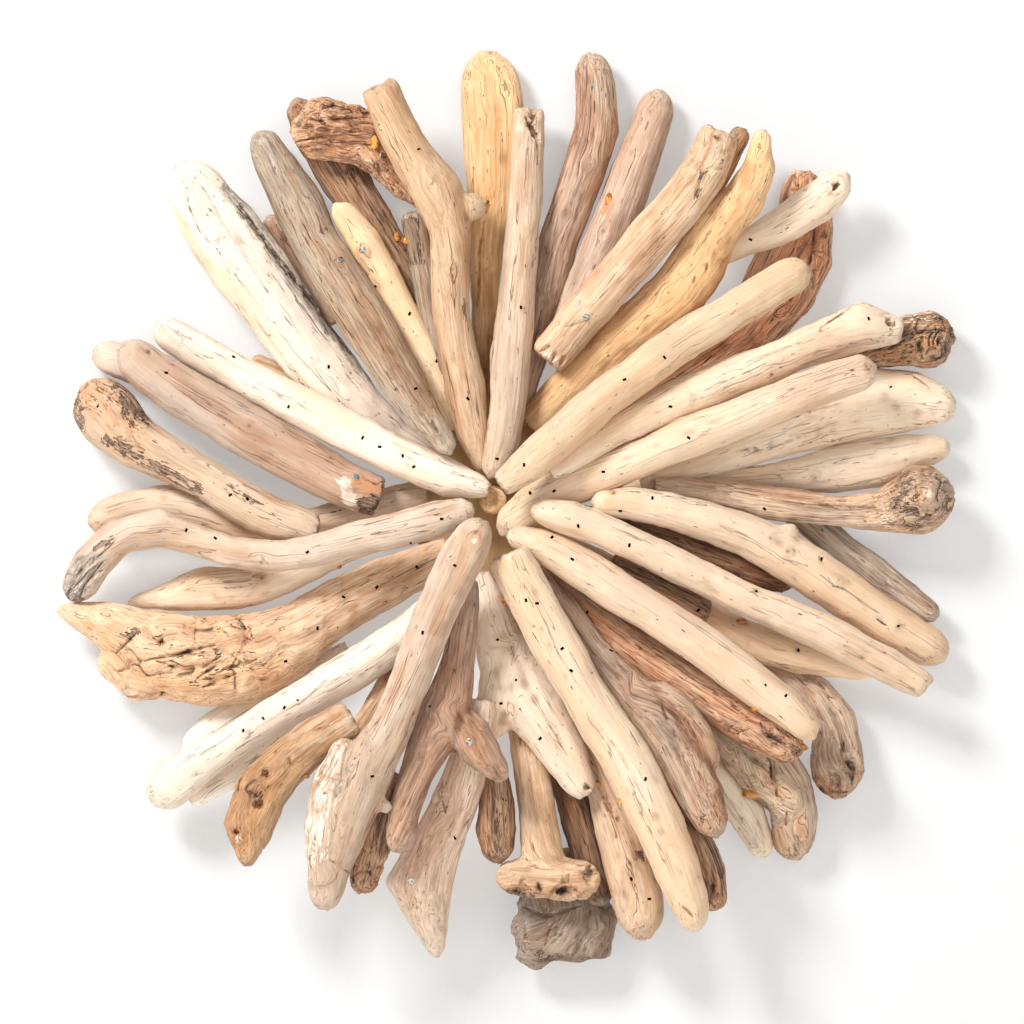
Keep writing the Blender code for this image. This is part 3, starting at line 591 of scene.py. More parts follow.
class CentreLine:
    """A smooth line through the middle of a stick, and where points lie along and across it."""

    def __init__(self, points: np.ndarray) -> None:
        """Keep the line, carried on a little past both ends."""
        first, last = points[0] - points[1], points[-1] - points[-2]
        self.points = np.vstack([points[0] + first, points, points[-1] + last])
        steps = np.linalg.norm(np.diff(self.points, axis=0), axis=1)
        self.run = np.concatenate([[0], np.cumsum(steps)])

    @classmethod
    def through(cls, corners: np.ndarray, rounds: int = 4) -> "CentreLine":
        """Find the line through a stick's vertices, from its outer end inwards.

        Args:
            corners: The vertices.
            rounds: How often the slices are set square to the last line.

        Returns:
            The centre line.
        """
        middle = corners.mean(axis=0)
        axes = np.linalg.svd(corners - middle, full_matrices=False)[2]
        length, width = np.ptp((corners - middle) @ axes[:2].T, axis=0)
        stations = int(np.clip(2.5 * length / width, 5, 16))
        axis = axes[0] * math.copysign(1.0, -(middle @ axes[0]))
        along = (corners - middle) @ axis
        line = None
        for _ in range(rounds):
            edges = np.linspace(along.min(), along.max(), stations + 1)
            slot = np.clip(np.searchsorted(edges, along) - 1, 0, stations - 1)
            found = [corners[slot == k].mean(axis=0) for k in range(stations) if (slot == k).any()]
            points = np.array(found)
            for _ in range(2):
                inner = (points[:-2] + 2 * points[1:-1] + points[2:]) / 4
                points = np.vstack([points[0], inner, points[-1]])
            line = cls(points)
            along = line.coordinates(corners)[:, 0]
        return line

    def crossing(self, corners: np.ndarray, normals: np.ndarray) -> tuple[np.ndarray, np.ndarray]:
        """Each corner's way along the line, and how squarely its normal follows the line, from 0 to 1."""
        along = self.coordinates(corners)[:, 0]
        ways = np.diff(self.points, axis=0)
        ways /= np.linalg.norm(ways, axis=1)[:, None]
        slot = np.clip(np.searchsorted(self.run, along) - 1, 0, len(ways) - 1)
        return along, np.abs(np.einsum("ij,ij->i", ways[slot], normals))

    def coordinates(self, corners: np.ndarray) -> np.ndarray:
        """Each corner's way along the line, its offset across it in the face, and its offset in depth."""
        ways = np.diff(self.points, axis=0)
        lengths = np.linalg.norm(ways, axis=1)
        best, held = np.full(len(corners), np.inf), np.zeros(len(corners))
        slot = np.zeros(len(corners), int)
        for index, (start, way, length) in enumerate(zip(self.points, ways, lengths)):
            share = np.clip((corners - start) @ way / length**2, 0, 1)
            gap = ((corners - start - share[:, None] * way) ** 2).sum(axis=1)
            nearer = gap < best
            best[nearer], held[nearer], slot[nearer] = gap[nearer], share[nearer], index
        headings = ways / lengths[:, None]
        turns = np.vstack([headings[0], headings[:-1] + headings[1:], headings[-1]])
        turns /= np.linalg.norm(turns, axis=1)[:, None]
        heading = turns[slot] + held[:, None] * (turns[slot + 1] - turns[slot])
        side = np.column_stack([-heading[:, 2], np.zeros(len(corners)), heading[:, 0]])
        size = np.linalg.norm(side, axis=1)[:, None]
        side = np.where(size > 0.1, side / np.maximum(size, 0.1), (1.0, 0.0, 0.0))
        offset = corners - self.points[slot] - held[:, None] * ways[slot]
        return np.column_stack([self.run[slot] + held * lengths[slot], (offset * side).sum(axis=1),
                                (offset * np.cross(heading, side)).sum(axis=1)])


@dataclass
class Stick:
    """One stick: its node, its wood, and what grew, broke or was worn into it."""

    node: str
    wood: Wood
    arms_px: tuple[tuple[Pixel, ...], ...] = ()
    dents: tuple[Dent, ...] = ()
    knots: tuple[Knot, ...] = ()
    patches: tuple[Patch, ...] = ()
    voxel: float = 0.0019
    rounding: int = 18
    lumps: float = 0.0009
    flutes: float = 0.0004
    gnarl: float = 0.0
    burls: tuple[Burl, ...] = ()
    twigs: int = 2
    cut_rim: bool = False
    seed: int = 0

    def build(self, frame: dict, box: Box) -> bpy.types.Object:
        """Make the finished stick and hide its solid.

        Args:
            box: The CAD model's lowest and highest corners.

        Returns:
            The finished piece.
        """
        piece = self.start(frame)
        line = self.refine(piece)
        self.grow_twig_marks(piece)
        self.sharpen(piece)
        self.carve(piece, line, box)
        self.store(piece, line)
        piece.data.materials.clear()
        piece.data.materials.append(self.wood.material(self.node))
        piece.data.shade_smooth()
        self.declare(piece, frame)
        return piece

    def start(self, frame: dict) -> bpy.types.Object:
        """A copy of the node's solid, with its loose triangles merged."""
        node = frame["nodes"][self.node]
        piece = bpy.data.objects.new(self.node + "_wood", node.data.copy())
        bpy.context.scene.collection.objects.link(piece)
        pick(piece)
        bpy.ops.object.mode_set(mode="EDIT")
        bpy.ops.mesh.select_all(action="SELECT")
        bpy.ops.mesh.remove_doubles(threshold=MERGE_GAP)
        bpy.ops.object.mode_set(mode="OBJECT")
        return piece

    def declare(self, piece: bpy.types.Object, frame: dict) -> None:
        """Hide the node's solid and hang the piece on the root body."""
        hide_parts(self.node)
        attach(piece, "root")

    def refine(self, piece: bpy.types.Object) -> CentreLine:
        """Remesh the piece finely and round off its facets, keeping its size.

        Args:
            piece: The piece to change.

        Returns:
            The centre line of the finished form.
        """
        apply(piece, "REMESH", mode="VOXEL", voxel_size=self.voxel)
        corners = vertex_table(piece, "co")
        line = CentreLine.through(corners[::5])
        grain = line.coordinates(corners)
        from_end = grain[:, 0].max() - grain[:, 0]
        if self.cut_rim:
            from_end = np.minimum(from_end, grain[:, 0] - grain[:, 0].min())
        soft = np.clip((from_end - 0.001) / 0.004, 0.06, 1.0)
        group = piece.vertex_groups.new(name="soft")
        for index, weight in enumerate(soft):
            group.add([index], float(weight), "REPLACE")
        width = 2 * np.median(np.linalg.norm(grain[:, 1:], axis=1))
        apply(piece, "SMOOTH", factor=0.5, iterations=self.rounding, vertex_group="soft")
        piece.vertex_groups.clear()
        regain = self.rounding * self.voxel**2 / (4 * width) + 0.0003
        outward = vertex_table(piece, "normal") * (regain * soft[:, None])
        write_corners(piece, vertex_table(piece, "co") + outward)
        return line

    def grow_twig_marks(self, piece: bpy.types.Object) -> None:
        """Add small knots where twigs once grew, at places drawn by the stick's own seed."""
        draw = np.random.default_rng(self.seed)
        corners, normals = vertex_table(piece, "co"), vertex_table(piece, "normal")
        front = corners[normals[:, 1] < -0.45]
        for place in front[draw.integers(0, len(front), self.twigs)] if len(front) else ():
            x_px, y_px = place[0] / PIXEL + CENTRE_PX[0], CENTRE_PX[1] - place[2] / PIXEL
            radius, height, dark = draw.uniform(1.2, 2.6), draw.uniform(-0.3, 0.5), draw.uniform(0, 0.3)
            self.knots += (Knot(x_px, y_px, radius, height, dark),)

    def sharpen(self, piece: bpy.types.Object) -> None:
        """Make the mesh three times finer round dents and knots, and twice as fine on burls."""
        corners, normals = vertex_table(piece, "co"), vertex_table(piece, "normal")
        face = corners[:, ::2]
        close = np.zeros(len(corners), bool)
        for dent in self.dents:
            close |= beside_line(face, on_faces(dent.line_px))[0] < dent.width_px * PIXEL * 0.75
        for knot in self.knots:
            close |= knot.gap(face) < 1.1
        subdivide(piece, close & (normals[:, 1] < 0.1), 2)
        wild = np.zeros(len(piece.data.vertices), bool)
        face, normals = vertex_table(piece, "co")[:, ::2], vertex_table(piece, "normal")
        for burl in self.burls:
            wild |= beside_line(face, on_faces(burl.line_px))[0] < burl.width_px * PIXEL * 0.55
        wild[:len(close)] &= ~close
        subdivide(piece, wild & (normals[:, 1] < 0.1), 1)

    def carve(self, piece: bpy.types.Object, line: CentreLine, box: Box) -> None:
        """Move the surface for lumps, flutes, knots and dents, inside the CAD model's box."""
        corners, normals = vertex_table(piece, "co"), vertex_table(piece, "normal")
        grain = line.coordinates(corners)
        rise = self.lumps * noise_at(corners * 48, self.seed)
        rise += self.lumps * 0.5 * noise_at(corners * 120, self.seed + 0.3)
        rise += self.flutes * 1.2 * noise_at(grain * (12, 130, 130), self.seed + 0.6)
        rise += self.flutes * 0.7 * noise_at(grain * (16, 260, 260), self.seed + 0.9)
        if self.gnarl:
            rise += self.gnarl * (0.6 - 2.2 * np.abs(noise_at(grain * (30, 110, 110), self.seed + 1.2)))
            rise += self.gnarl * 0.4 * (0.5 - 2 * np.abs(noise_at(corners * 260, self.seed + 1.5)))
        rise += self.end_share(line, corners, normals) * 0.0016 * noise_at(corners * 330, self.seed + 1.8)
        front = smooth_step(-normals[:, 1], -0.1, 0.3)
        for knot in self.knots:
            gap = knot.gap(corners[:, ::2])
            swell = np.exp(-(gap**2)) - 0.7 * np.exp(-((gap * 2.6) ** 2))
            rise += front * knot.height * MILLIMETRE * swell
        for dent in self.dents:
            rise -= front * dent.depth * MILLIMETRE * dent.share(corners, self.seed)
        for burl in self.burls:
            rise += burl.grooves(corners, self.seed)[0]
        low, high = (np.array(corner) for corner in box)
        risen = corners + normals * rise[:, None]
        write_corners(piece, np.clip(risen, low + BOX_CLEARANCE, high - BOX_CLEARANCE))

    def end_share(self, line: CentreLine, corners: np.ndarray, normals: np.ndarray) -> np.ndarray:
        """Where the surface cuts across the grain at either end, from 0 to 1."""
        along, across = line.crossing(corners, normals)
        near = np.minimum(along - along.min(), along.max() - along) < 0.012
        return near * smooth_step(across, 0.75, 0.95)

    def store(self, piece: bpy.types.Object, line: CentreLine) -> None:
        """Store the grain's place, the marks and the recesses on every vertex."""
        corners, normals = vertex_table(piece, "co"), vertex_table(piece, "normal")
        face = corners[:, ::2]
        front = smooth_step(-normals[:, 1], -0.2, 0.2)
        rows = {name: np.zeros_like(corners) for name in ("marks", "shade_and_wear", "relief")}
        for patch in self.patches:
            name, place = patch.mark.value
            gap = beside_line(face, on_faces(patch.line_px))[0] / (patch.width_px * PIXEL / 2)
            share = patch.share * front * (1 - smooth_step(gap, 0.1, 1.6))
            rows[name][:, place] = np.maximum(rows[name][:, place], share)
        # The deep part of each dent is darkened as painted shade.
        for dent in self.dents:
            share = dent.dark * front * smooth_step(dent.share(corners, self.seed), 0.35, 1.0)
            rows["shade_and_wear"][:, 0] = np.maximum(rows["shade_and_wear"][:, 0], share)
        for knot in self.knots:
            gap = knot.gap(face)
            share = front * knot.dark * np.exp(-((gap * 2.2) ** 2))
            rows["shade_and_wear"][:, 0] = np.maximum(rows["shade_and_wear"][:, 0], share)
        # The deep parts of burl grooves are darkened as painted shade.
        for burl in self.burls:
            rows["shade_and_wear"][:, 0] = np.maximum(rows["shade_and_wear"][:, 0], burl.grooves(corners, self.seed)[1])
        rows["shade_and_wear"][:, 1] = self.end_share(line, corners, normals)
        # Hollowness, from which shade is painted into recesses and highlight onto ridges.
        rows["relief"][:, 0] = recesses(piece, corners, normals)
        rows["grain"] = self.grain(corners, line) + np.array([0.37, 0.11, 0.23]) * self.seed
        for name, table in rows.items():
            attribute = piece.data.attributes.new(name, "FLOAT_VECTOR", "POINT")
            attribute.data.foreach_set("vector", table.astype(np.float32).ravel())

    def grain(self, corners: np.ndarray, line: CentreLine) -> np.ndarray:
        """Where each corner lies along the grain, across it, and in depth, with the knots' swirls."""
        grain = line.coordinates(corners)
        for arm_px in self.arms_px:
            points = on_faces(arm_px)
            lead = np.hypot(grain[:, 1], grain[:, 2]) - beside_line(corners[:, ::2], points)[0]
            seam = np.abs(lead) < 0.002
            if not seam.any():
                continue
            depth = np.full(len(points), np.median(corners[lead > 0, 1]))
            own = CentreLine(np.column_stack([points[:, 0], depth, points[:, 1]])).coordinates(corners)
            own += (grain[seam] - own[seam]).mean(axis=0)
            grain += smooth_step(lead, -0.003, 0.004)[:, None] * (own - grain)
        for burl in self.burls:
            grain[:, 1] += burl.grooves(corners, self.seed)[2]
        front = corners[:, 1] < np.median(corners[:, 1])
        for knot in self.knots:
            radius = knot.radius_px * PIXEL
            apart = np.linalg.norm(corners[:, ::2] - on_face(knot.x_px, knot.y_px), axis=1)
            close = np.argmin(apart)
            along, across = grain[:, 0] - grain[close, 0], grain[:, 1] - grain[close, 1]
            pull = np.where(front, np.minimum(1, radius**2 / np.maximum(along**2 + across**2, 1e-9)), 0)
            grain[:, 1] -= across * pull * 0.7
            inside = front & (apart < radius * 0.8)
            grain[inside, 1] += 0.15 * (radius * 0.8 - apart[inside])
        return grain


@dataclass
class Sliver(Stick):
    """A short piece that only shows between others, with no solid of its own."""

    line_px: tuple[tuple[float, float, float], ...] = ()
    depth: float = -0.015
    thick: float = 0.8
    slot: str = "brown"

    def start(self, frame: dict) -> bpy.types.Object:
        """A round bar through the line's points, drawn from a primitive."""
        (x1, y1, w1), (x2, y2, w2) = self.line_px[0], self.line_px[-1]
        (ax, az), (bx, bz) = on_face(x1, y1), on_face(x2, y2)
        way = Vector((bx - ax, 0, bz - az))
        bpy.ops.object.select_all(action="DESELECT")
        bpy.ops.mesh.primitive_cone_add(
            vertices=24, radius1=w1 * PIXEL / 2, radius2=w2 * PIXEL / 2, depth=way.length)
        piece = bpy.context.object
        piece.name = piece.data.name = self.node
        turn = way.to_track_quat("Z", "Y").to_matrix().to_4x4()
        middle = Matrix.Translation(((ax + bx) / 2, self.depth, (az + bz) / 2))
        piece.data.transform(middle @ Matrix.Diagonal((1, self.thick, 1, 1)) @ turn)
        return piece

    def declare(self, piece: bpy.types.Object, frame: dict) -> None:
        """The piece rides on the decor."""
        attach(piece, "root")


def pick(piece: bpy.types.Object) -> None:
    """Deselect everything, then select a piece and make it active."""
    bpy.ops.object.select_all(action="DESELECT")
    piece.select_set(True)
    bpy.context.view_layer.objects.active = piece


def apply(piece: bpy.types.Object, kind: str, **settings: object) -> None:
    """Add a modifier to a piece and apply it.

    Args:
        piece: The piece.
        kind: Blender's type name of the modifier.
        settings: The modifier's own properties.
    """
    pick(piece)
    modifier = piece.modifiers.new(kind.lower(), kind)
    for name, value in settings.items():
        setattr(modifier, name, value)
    bpy.ops.object.modifier_apply(modifier=modifier.name)


def subdivide(piece: bpy.types.Object, chosen: np.ndarray, cuts: int) -> None:
    """Cut the faces whose vertices are all chosen into smaller ones."""
    if not chosen.any():
        return
    pick(piece)
    piece.data.polygons.foreach_set("select", np.zeros(len(piece.data.polygons), bool))
    piece.data.edges.foreach_set("select", np.zeros(len(piece.data.edges), bool))
    piece.data.vertices.foreach_set("select", chosen)
    bpy.ops.object.mode_set(mode="EDIT")
    bpy.ops.mesh.select_mode(type="VERT")
    bpy.ops.mesh.subdivide(number_cuts=cuts, quadcorner="INNERVERT")
    bpy.ops.object.mode_set(mode="OBJECT")


def vertex_table(piece: bpy.types.Object, name: str) -> np.ndarray:
    """One row for each vertex with its place ("co") or its normal ("normal")."""
    rows = np.empty(len(piece.data.vertices) * 3, np.float32)
    piece.data.vertices.foreach_get(name, rows)
    return rows.reshape(-1, 3).astype(float)


def write_corners(piece: bpy.types.Object, corners: np.ndarray) -> None:
    """Give a piece's vertices new places."""
    piece.data.vertices.foreach_set("co", corners.astype(np.float32).ravel())
    piece.data.update()


def recesses(piece: bpy.types.Object, corners: np.ndarray, normals: np.ndarray) -> np.ndarray:
    """How hollow the surface is at each vertex: 0.5 where flat, up to 1 in grooves, down to 0 on ridges. It
    sets where shade is painted in recesses and highlight on ridges.
    """
    ends = np.empty(len(piece.data.edges) * 2, np.int32)
    piece.data.edges.foreach_get("vertices", ends)
    first, second = ends.reshape(-1, 2).T
    count = np.bincount(ends, minlength=len(corners)).astype(float)

    def spread(values: np.ndarray) -> np.ndarray:
        """Each vertex's mean over its neighbours."""
        forward = np.bincount(first, values[second], len(corners))
        backward = np.bincount(second, values[first], len(corners))
        return (forward + backward) / np.maximum(count, 1)

    mean = np.column_stack([spread(corners[:, axis]) for axis in range(3)])
    reach = spread(np.linalg.norm(mean - corners, axis=1)) + 0.0001
    hollow = np.einsum("ij,ij->i", mean - corners, normals) / reach
    for _ in range(6):
        hollow = (hollow + spread(hollow)) / 2
    return np.clip(0.5 + 1.0 * (hollow - np.median(hollow)), 0, 1)


def line(*numbers: float) -> tuple[Pixel, ...]:
    """Points of the face from a plain run of x and y pixels."""
    return tuple(zip(numbers[::2], numbers[1::2]))


def spot(mark: Mark, width: float, *numbers: float, share: float = 1.0) -> Patch:
    """A patch along a run of x and y pixels."""
    return Patch(mark, line(*numbers), width, share)


def burl(width: float, depth: float, *numbers: float, dark: float = 0.6,
         scale: tuple[float, float, float] = (60, 60, 60)) -> Burl:
    """A burl along a run of x and y pixels."""
    return Burl(line(*numbers), width, depth, dark, scale)


def dent(width: float, depth: float, *numbers: float, dark: float = 0.7) -> Dent:
    """A dent along a run of x and y pixels."""
    return Dent(line(*numbers), width, depth, dark)


def sticks() -> list[Stick]:
    """All sticks, each with its wood and what shows on it."""
    bone, cream, sand, tan, honey, rose, mauve, ash, russet, umber, slate, shade = (
        tone.value for tone in Tone)
    bark, rust, bleach, grey = Mark.BARK, Mark.RUST, Mark.BLEACH, Mark.ASH
    return [
        Stick("stick_01_honey_plank", honey, flutes=0.0006,
              dents=(dent(9, 2.5, 488, 202, 486, 214),
                     dent(7, 1.2, 484, 222, 480, 250, 478, 300, dark=0.5)),
              knots=(Knot(480, 120, 7), Knot(505, 90, 5))),
        Stick("stick_02_hollow_tip", replace(sand, weathering=0.5), cut_rim=True,
              dents=(dent(12, 7, 536, 104, 533, 122, dark=0.6),
                     dent(9, 7, 526, 118, 533, 130, 539, 142, dark=1.0),
                     dent(4, 1.2, 537, 140, 538, 165, dark=0.8), dent(10, 5, 506, 104, 509, 118, dark=0.0)),
              patches=(spot(bleach, 12, 516, 108, 520, 128, share=0.45),)),
        Stick("stick_03_curved_mauve", mauve, flutes=0.0006, knots=(Knot(590, 165, 6), Knot(566, 215, 5)),
              patches=(spot(grey, 16, 592, 70, 600, 100, share=0.55), spot(rust, 12, 578, 128, share=0.3))),
        Stick("stick_04_brown_grey", rose, flutes=0.0006, knots=(Knot(650, 112, 6), Knot(604, 232, 6)),
              patches=(spot(rust, 10, 608, 200, 606, 212, share=0.7),)),
        Stick("stick_05_broken_inner_end", tan, cut_rim=True, voxel=0.0018,
              dents=(dent(7, 3, 705, 145, dark=0.9), dent(5, 2.5, 713, 137, 722, 141),
                     dent(5, 2, 730, 160, 722, 185), dent(9, 2.0, 690, 160, 704, 172, 722, 170, dark=0.4),
                     dent(6, 1.4, 701, 180, 694, 200, dark=0.55), dent(5, 4, 540, 352, 549, 346, dark=0.9),
                     dent(5, 3, 560, 366, 566, 356, dark=0.8), dent(4, 3, 552, 362, 556, 353, dark=0.8),
                     dent(4, 1.0, 586, 322, 564, 328, dark=0.9)),
              patches=(spot(bark, 13, 704, 176, 698, 195, share=0.48),
                       spot(bleach, 12, 545, 352, 556, 362, share=0.4),
                       spot(rust, 10, 706, 178, 700, 205, share=0.5), spot(rust, 10, 590, 306, share=0.5)),
              knots=(Knot(686, 175, 5),),
              burls=(burl(46, 1.2, 712, 138, 702, 178, dark=0.6, scale=(60, 80, 80)),)),
        Stick("stick_06_honey_knobbly", replace(honey, mottle=0.45), lumps=0.0013, voxel=0.0018,
              dents=(dent(5, 1.5, 707, 264, 706, 272, dark=0.8), dent(5, 1.5, 695, 277, 693, 284, dark=0.8),
                     dent(14, 1.4, 735, 262, 725, 290, dark=0.1)),
              knots=(Knot(668, 293, 7), Knot(720, 250, 6), Knot(758, 148, 4)),
              patches=(spot(rust, 22, 748, 165, 744, 185, share=0.55),
                       spot(grey, 12, 676, 345, 668, 355, share=0.4),
                       spot(rust, 20, 742, 200, 720, 262, share=0.45),
                       spot(rust, 24, 700, 290, 670, 320, share=0.35))),
        Stick("stick_07_red_brown_arc", replace(russet, light=(0.98, 0.76, 0.60), dark=(0.46, 0.31, 0.22)),
              flutes=0.0011, lumps=0.0011, voxel=0.0018, gnarl=0.0006,
              dents=(dent(6, 2.2, 815, 228, 810, 262, 790, 300, dark=0.85),
                     dent(5, 1.4, 770, 300, 740, 322, 700, 345, dark=0.7),
                     dent(5, 1.4, 793, 250, 775, 285, dark=0.6)),
              burls=(burl(44, 1.0, 808, 195, 815, 240, 790, 300, dark=0.6, scale=(90, 90, 60)),)),
        Stick("stick_08_cream_hollow_knob",
              replace(cream, light=(1.0, 0.93, 0.83), dark=(0.88, 0.77, 0.65)),
              dents=(dent(12, 5, 834, 190, 838, 182, dark=0.6), dent(5, 1.4, 748, 223, dark=0.9)),
              patches=(spot(bark, 7, 747, 223, share=0.8),)),
        Stick("stick_09_pale_smooth",
              replace(cream, light=(0.93, 0.83, 0.71), dark=(0.78, 0.64, 0.50), cracks=0.15),
              flutes=0.00025),
        Stick("stick_10_flared_end", replace(cream, light=(0.98, 0.90, 0.80)), lumps=0.001,
              knots=(Knot(771, 375, 6), Knot(690, 401, 4)),
              dents=(dent(6, 2.5, 872, 304), dent(9, 3.5, 893, 326, 886, 318, dark=0.6),
                     dent(4, 1.3, 820, 328, 838, 316, 850, 308, dark=0.8),
                     dent(5, 1.5, 820, 331, dark=0.7))),
        Stick("stick_11_dark_burl_end", replace(umber, light=(0.80, 0.63, 0.48), dark=(0.24, 0.15, 0.10)),
              lumps=0.0012, voxel=0.0016, rounding=14, gnarl=0.0009, knots=(Knot(930, 348, 16, 2.0, 0.3),),
              dents=(dent(11, 4, 922, 338, 918, 346, 922, 358, dark=1.0),
                     dent(9, 3.5, 940, 338, 936, 344, dark=1.0), dent(5, 2.2, 932, 357),
                     dent(5, 1.8, 905, 330, 912, 322)),
              patches=(spot(rust, 20, 930, 348, share=0.35),
                       spot(bleach, 18, 905, 322, 935, 318, share=0.35)),
              burls=(burl(62, 1.8, 912, 335, 935, 350, dark=0.85, scale=(80, 80, 80)),)),
        Stick("stick_12_cream_lower", replace(cream, light=(0.95, 0.85, 0.74), cracks=0.2),
              patches=(spot(bark, 12, 853, 374, share=0.35),), knots=(Knot(865, 366, 5),)),
        Stick("stick_13_wide_cream", replace(cream, light=(1.0, 0.93, 0.84), dark=(0.88, 0.77, 0.64)),
              flutes=0.0005,
              dents=(dent(4, 1.0, 910, 374, 928, 386, dark=0.7),
                     dent(3, 0.8, 760, 447, 735, 452, dark=0.7)),
              knots=(Knot(832, 440, 6), Knot(890, 387, 4)),
              patches=(spot(grey, 14, 800, 440, 740, 452, share=0.5),)),
        Stick("stick_14_thin_cream", replace(cream, light=(1.0, 0.93, 0.84), dark=(0.86, 0.75, 0.62)),
              flutes=0.0005, knots=(Knot(905, 460, 4), Knot(815, 478, 4))),
        Stick("stick_15_round_burl", replace(mauve, light=(0.93, 0.81, 0.69)), voxel=0.0016, lumps=0.0010,
              flutes=0.0006, knots=(Knot(927, 495, 12, 1.6, 0.15),),
              dents=(dent(7, 1.6, 915, 487, 920, 506, 938, 510, dark=0.6),
                     dent(4, 1.0, 890, 512, 845, 506, 800, 504, dark=0.6)),
              patches=(spot(bark, 30, 905, 480, 900, 505, 915, 520, share=0.5),
                       spot(bark, 20, 940, 485, 950, 510, share=0.48), spot(rust, 50, 918, 500, share=0.42),
                       spot(bleach, 9, 927, 494), spot(bleach, 14, 886, 521, share=0.6)),
              burls=(burl(62, 1.3, 905, 500, 930, 498, dark=0.7, scale=(75, 75, 75)),)),
        Stick("stick_16_grey_short", replace(ash, light=(0.86, 0.78, 0.70)),
              patches=(spot(bark, 8, 865, 560, share=0.4),)),
        Stick("stick_17_long_cream", cream, dents=(dent(4, 1.0, 822, 562, 818, 556, dark=0.9),),
              knots=(Knot(787, 551, 7), Knot(838, 580, 5), Knot(898, 626, 5), Knot(770, 538, 5)),
              patches=(spot(rust, 8, 787, 551, share=0.7), spot(bark, 10, 928, 658, share=0.4),
                       spot(grey, 12, 915, 652, share=0.4))),
        Stick("stick_18_long_cut_end", replace(cream, mottle=0.3), cut_rim=True,
              knots=(Knot(754, 591, 4),)),
        Stick("stick_19_dark_under_white", shade),
        Stick("stick_20_spindle",
              replace(cream, light=(1.0, 0.90, 0.78), dark=(0.92, 0.78, 0.64), streaks=0.5),
              dents=(dent(4, 1, 796, 650, dark=0.9),), patches=(spot(rust, 12, 742, 622, share=0.8),)),
        Stick("stick_21_red_brown_knotted", russet, lumps=0.0011, flutes=0.0007, voxel=0.0018, gnarl=0.0005,
              dents=(dent(7, 2.0, 760, 722, 765, 735, 782, 742, dark=0.85),
                     dent(5, 1.6, 785, 725, 790, 738), dent(5, 1.5, 745, 715, 735, 708)),
              knots=(Knot(772, 728, 7), Knot(742, 712, 5)),
              patches=(spot(bark, 15, 795, 750, 770, 735, share=0.45), spot(rust, 22, 745, 720, share=0.4)),
              burls=(burl(52, 1.5, 745, 718, 770, 735, 795, 755, dark=0.8, scale=(75, 75, 75)),)),
        Stick("stick_22_split_end", mauve, voxel=0.0018, rounding=14, flutes=0.0008, lumps=0.001,
              dents=(dent(17, 6, 843, 742, 845, 756, 853, 772, 852, 780, dark=1.0),
                     dent(16, 4.0, 806, 765, 812, 782, 826, 792, 846, 792, dark=0.9),
                     dent(6, 2.2, 835, 775, 838, 790, dark=0.7),
                     dent(9, -2.0, 855, 748, 860, 770, 852, 785, dark=0)),
              patches=(spot(rust, 22, 822, 782, 835, 790, share=0.55),),
              burls=(burl(60, 1.2, 815, 750, 840, 785, dark=0.35),)),
        Stick("stick_23_smooth_tan",
              replace(cream, light=(0.95, 0.85, 0.74), cracks=0.1, pores=0.15, streaks=0.3), flutes=0.0002,
              lumps=0.0005, knots=(Knot(765, 685, 3), Knot(785, 696, 3))),
        Stick("stick_24_two_lobed", replace(mauve, light=(0.96, 0.84, 0.71)),
              arms_px=(line(706, 720, 725, 740, 743, 765, 760, 790, 780, 805),), flutes=0.0008,
              lumps=0.0009, voxel=0.0018,
              dents=(dent(9, 3.4, 762, 748, 770, 762, 772, 780, 776, 796, dark=1.0),
                     dent(8, 2.4, 786, 812, 785, 826, dark=1.0)),
              patches=(spot(rust, 12, 752, 793, share=0.8),),
              burls=(burl(40, 0.8, 745, 765, 775, 800, 785, 835, dark=0.2),)),
        # Painted light: nearly white, lighter than its own pinkish tan, making up for the shade it lies in
        # under the others.
        Stick("stick_25_grey_back",
              replace(cream, light=(1.0, 0.96, 0.86), dark=(0.96, 0.85, 0.72), weathering=0.0)),
        Stick("stick_26_pale_branched", replace(mauve, weathering=0.5),
              arms_px=(line(712, 768, 700, 738, 685, 712, 665, 697, 645, 690),), flutes=0.0007,
              dents=(dent(4, 1.3, 662, 704, 666, 718, dark=0.9),
                     dent(4, 1.0, 672, 728, 676, 738, dark=0.8)),
              patches=(spot(rust, 9, 627, 689, share=0.7), spot(rust, 8, 632, 702, share=0.5))),
        Stick("stick_27_dark_behind_white", umber, dents=(dent(9, 2.0, 713, 882, 712, 892),)),
        Stick("stick_28_white_fibrous", replace(cream, streaks=0.45, mottle=0.12, pores=0.4), flutes=0.0006,
              dents=(dent(5, 1.6, 682, 905, 693, 916, dark=0.9),),
              patches=(spot(rust, 8, 551, 609, share=0.35),)),
        Stick("stick_29_spotted_tan", replace(sand, light=(0.93, 0.81, 0.69)), flutes=0.0006, lumps=0.001,
              dents=(dent(9, 2.6, 604, 802, 612, 812, dark=0.85), dent(7, 2.0, 618, 818, dark=0.8),
                     dent(8, 2.2, 636, 850, 645, 858, dark=0.8)),
              knots=(Knot(612, 890, 6), Knot(630, 862, 5)),
              patches=(spot(rust, 8, 632, 882, share=0.7), spot(rust, 8, 597, 783, share=0.8),
                       spot(bark, 12, 636, 852, 650, 862, share=0.5))),
        Stick("stick_30_grey_brown_inner", replace(shade, light=(0.56, 0.42, 0.31))),
        Stick("stick_31_forked_plank",
              replace(cream, light=(1.0, 0.93, 0.84), dark=(0.82, 0.71, 0.60), mottle=0.15),
              arms_px=(line(491, 740, 494, 715, 500, 690, 510, 655),),
              dents=(dent(9, 4, 588, 787, dark=0.9),), knots=(Knot(497, 639, 4), Knot(516, 680, 4)),
              patches=(spot(rust, 14, 502, 598, 512, 612, 519, 627, share=0.75),)),
        Stick("stick_32_t_shaped", tan, arms_px=(line(495, 876, 520, 876, 550, 879, 580, 879, 600, 878),),
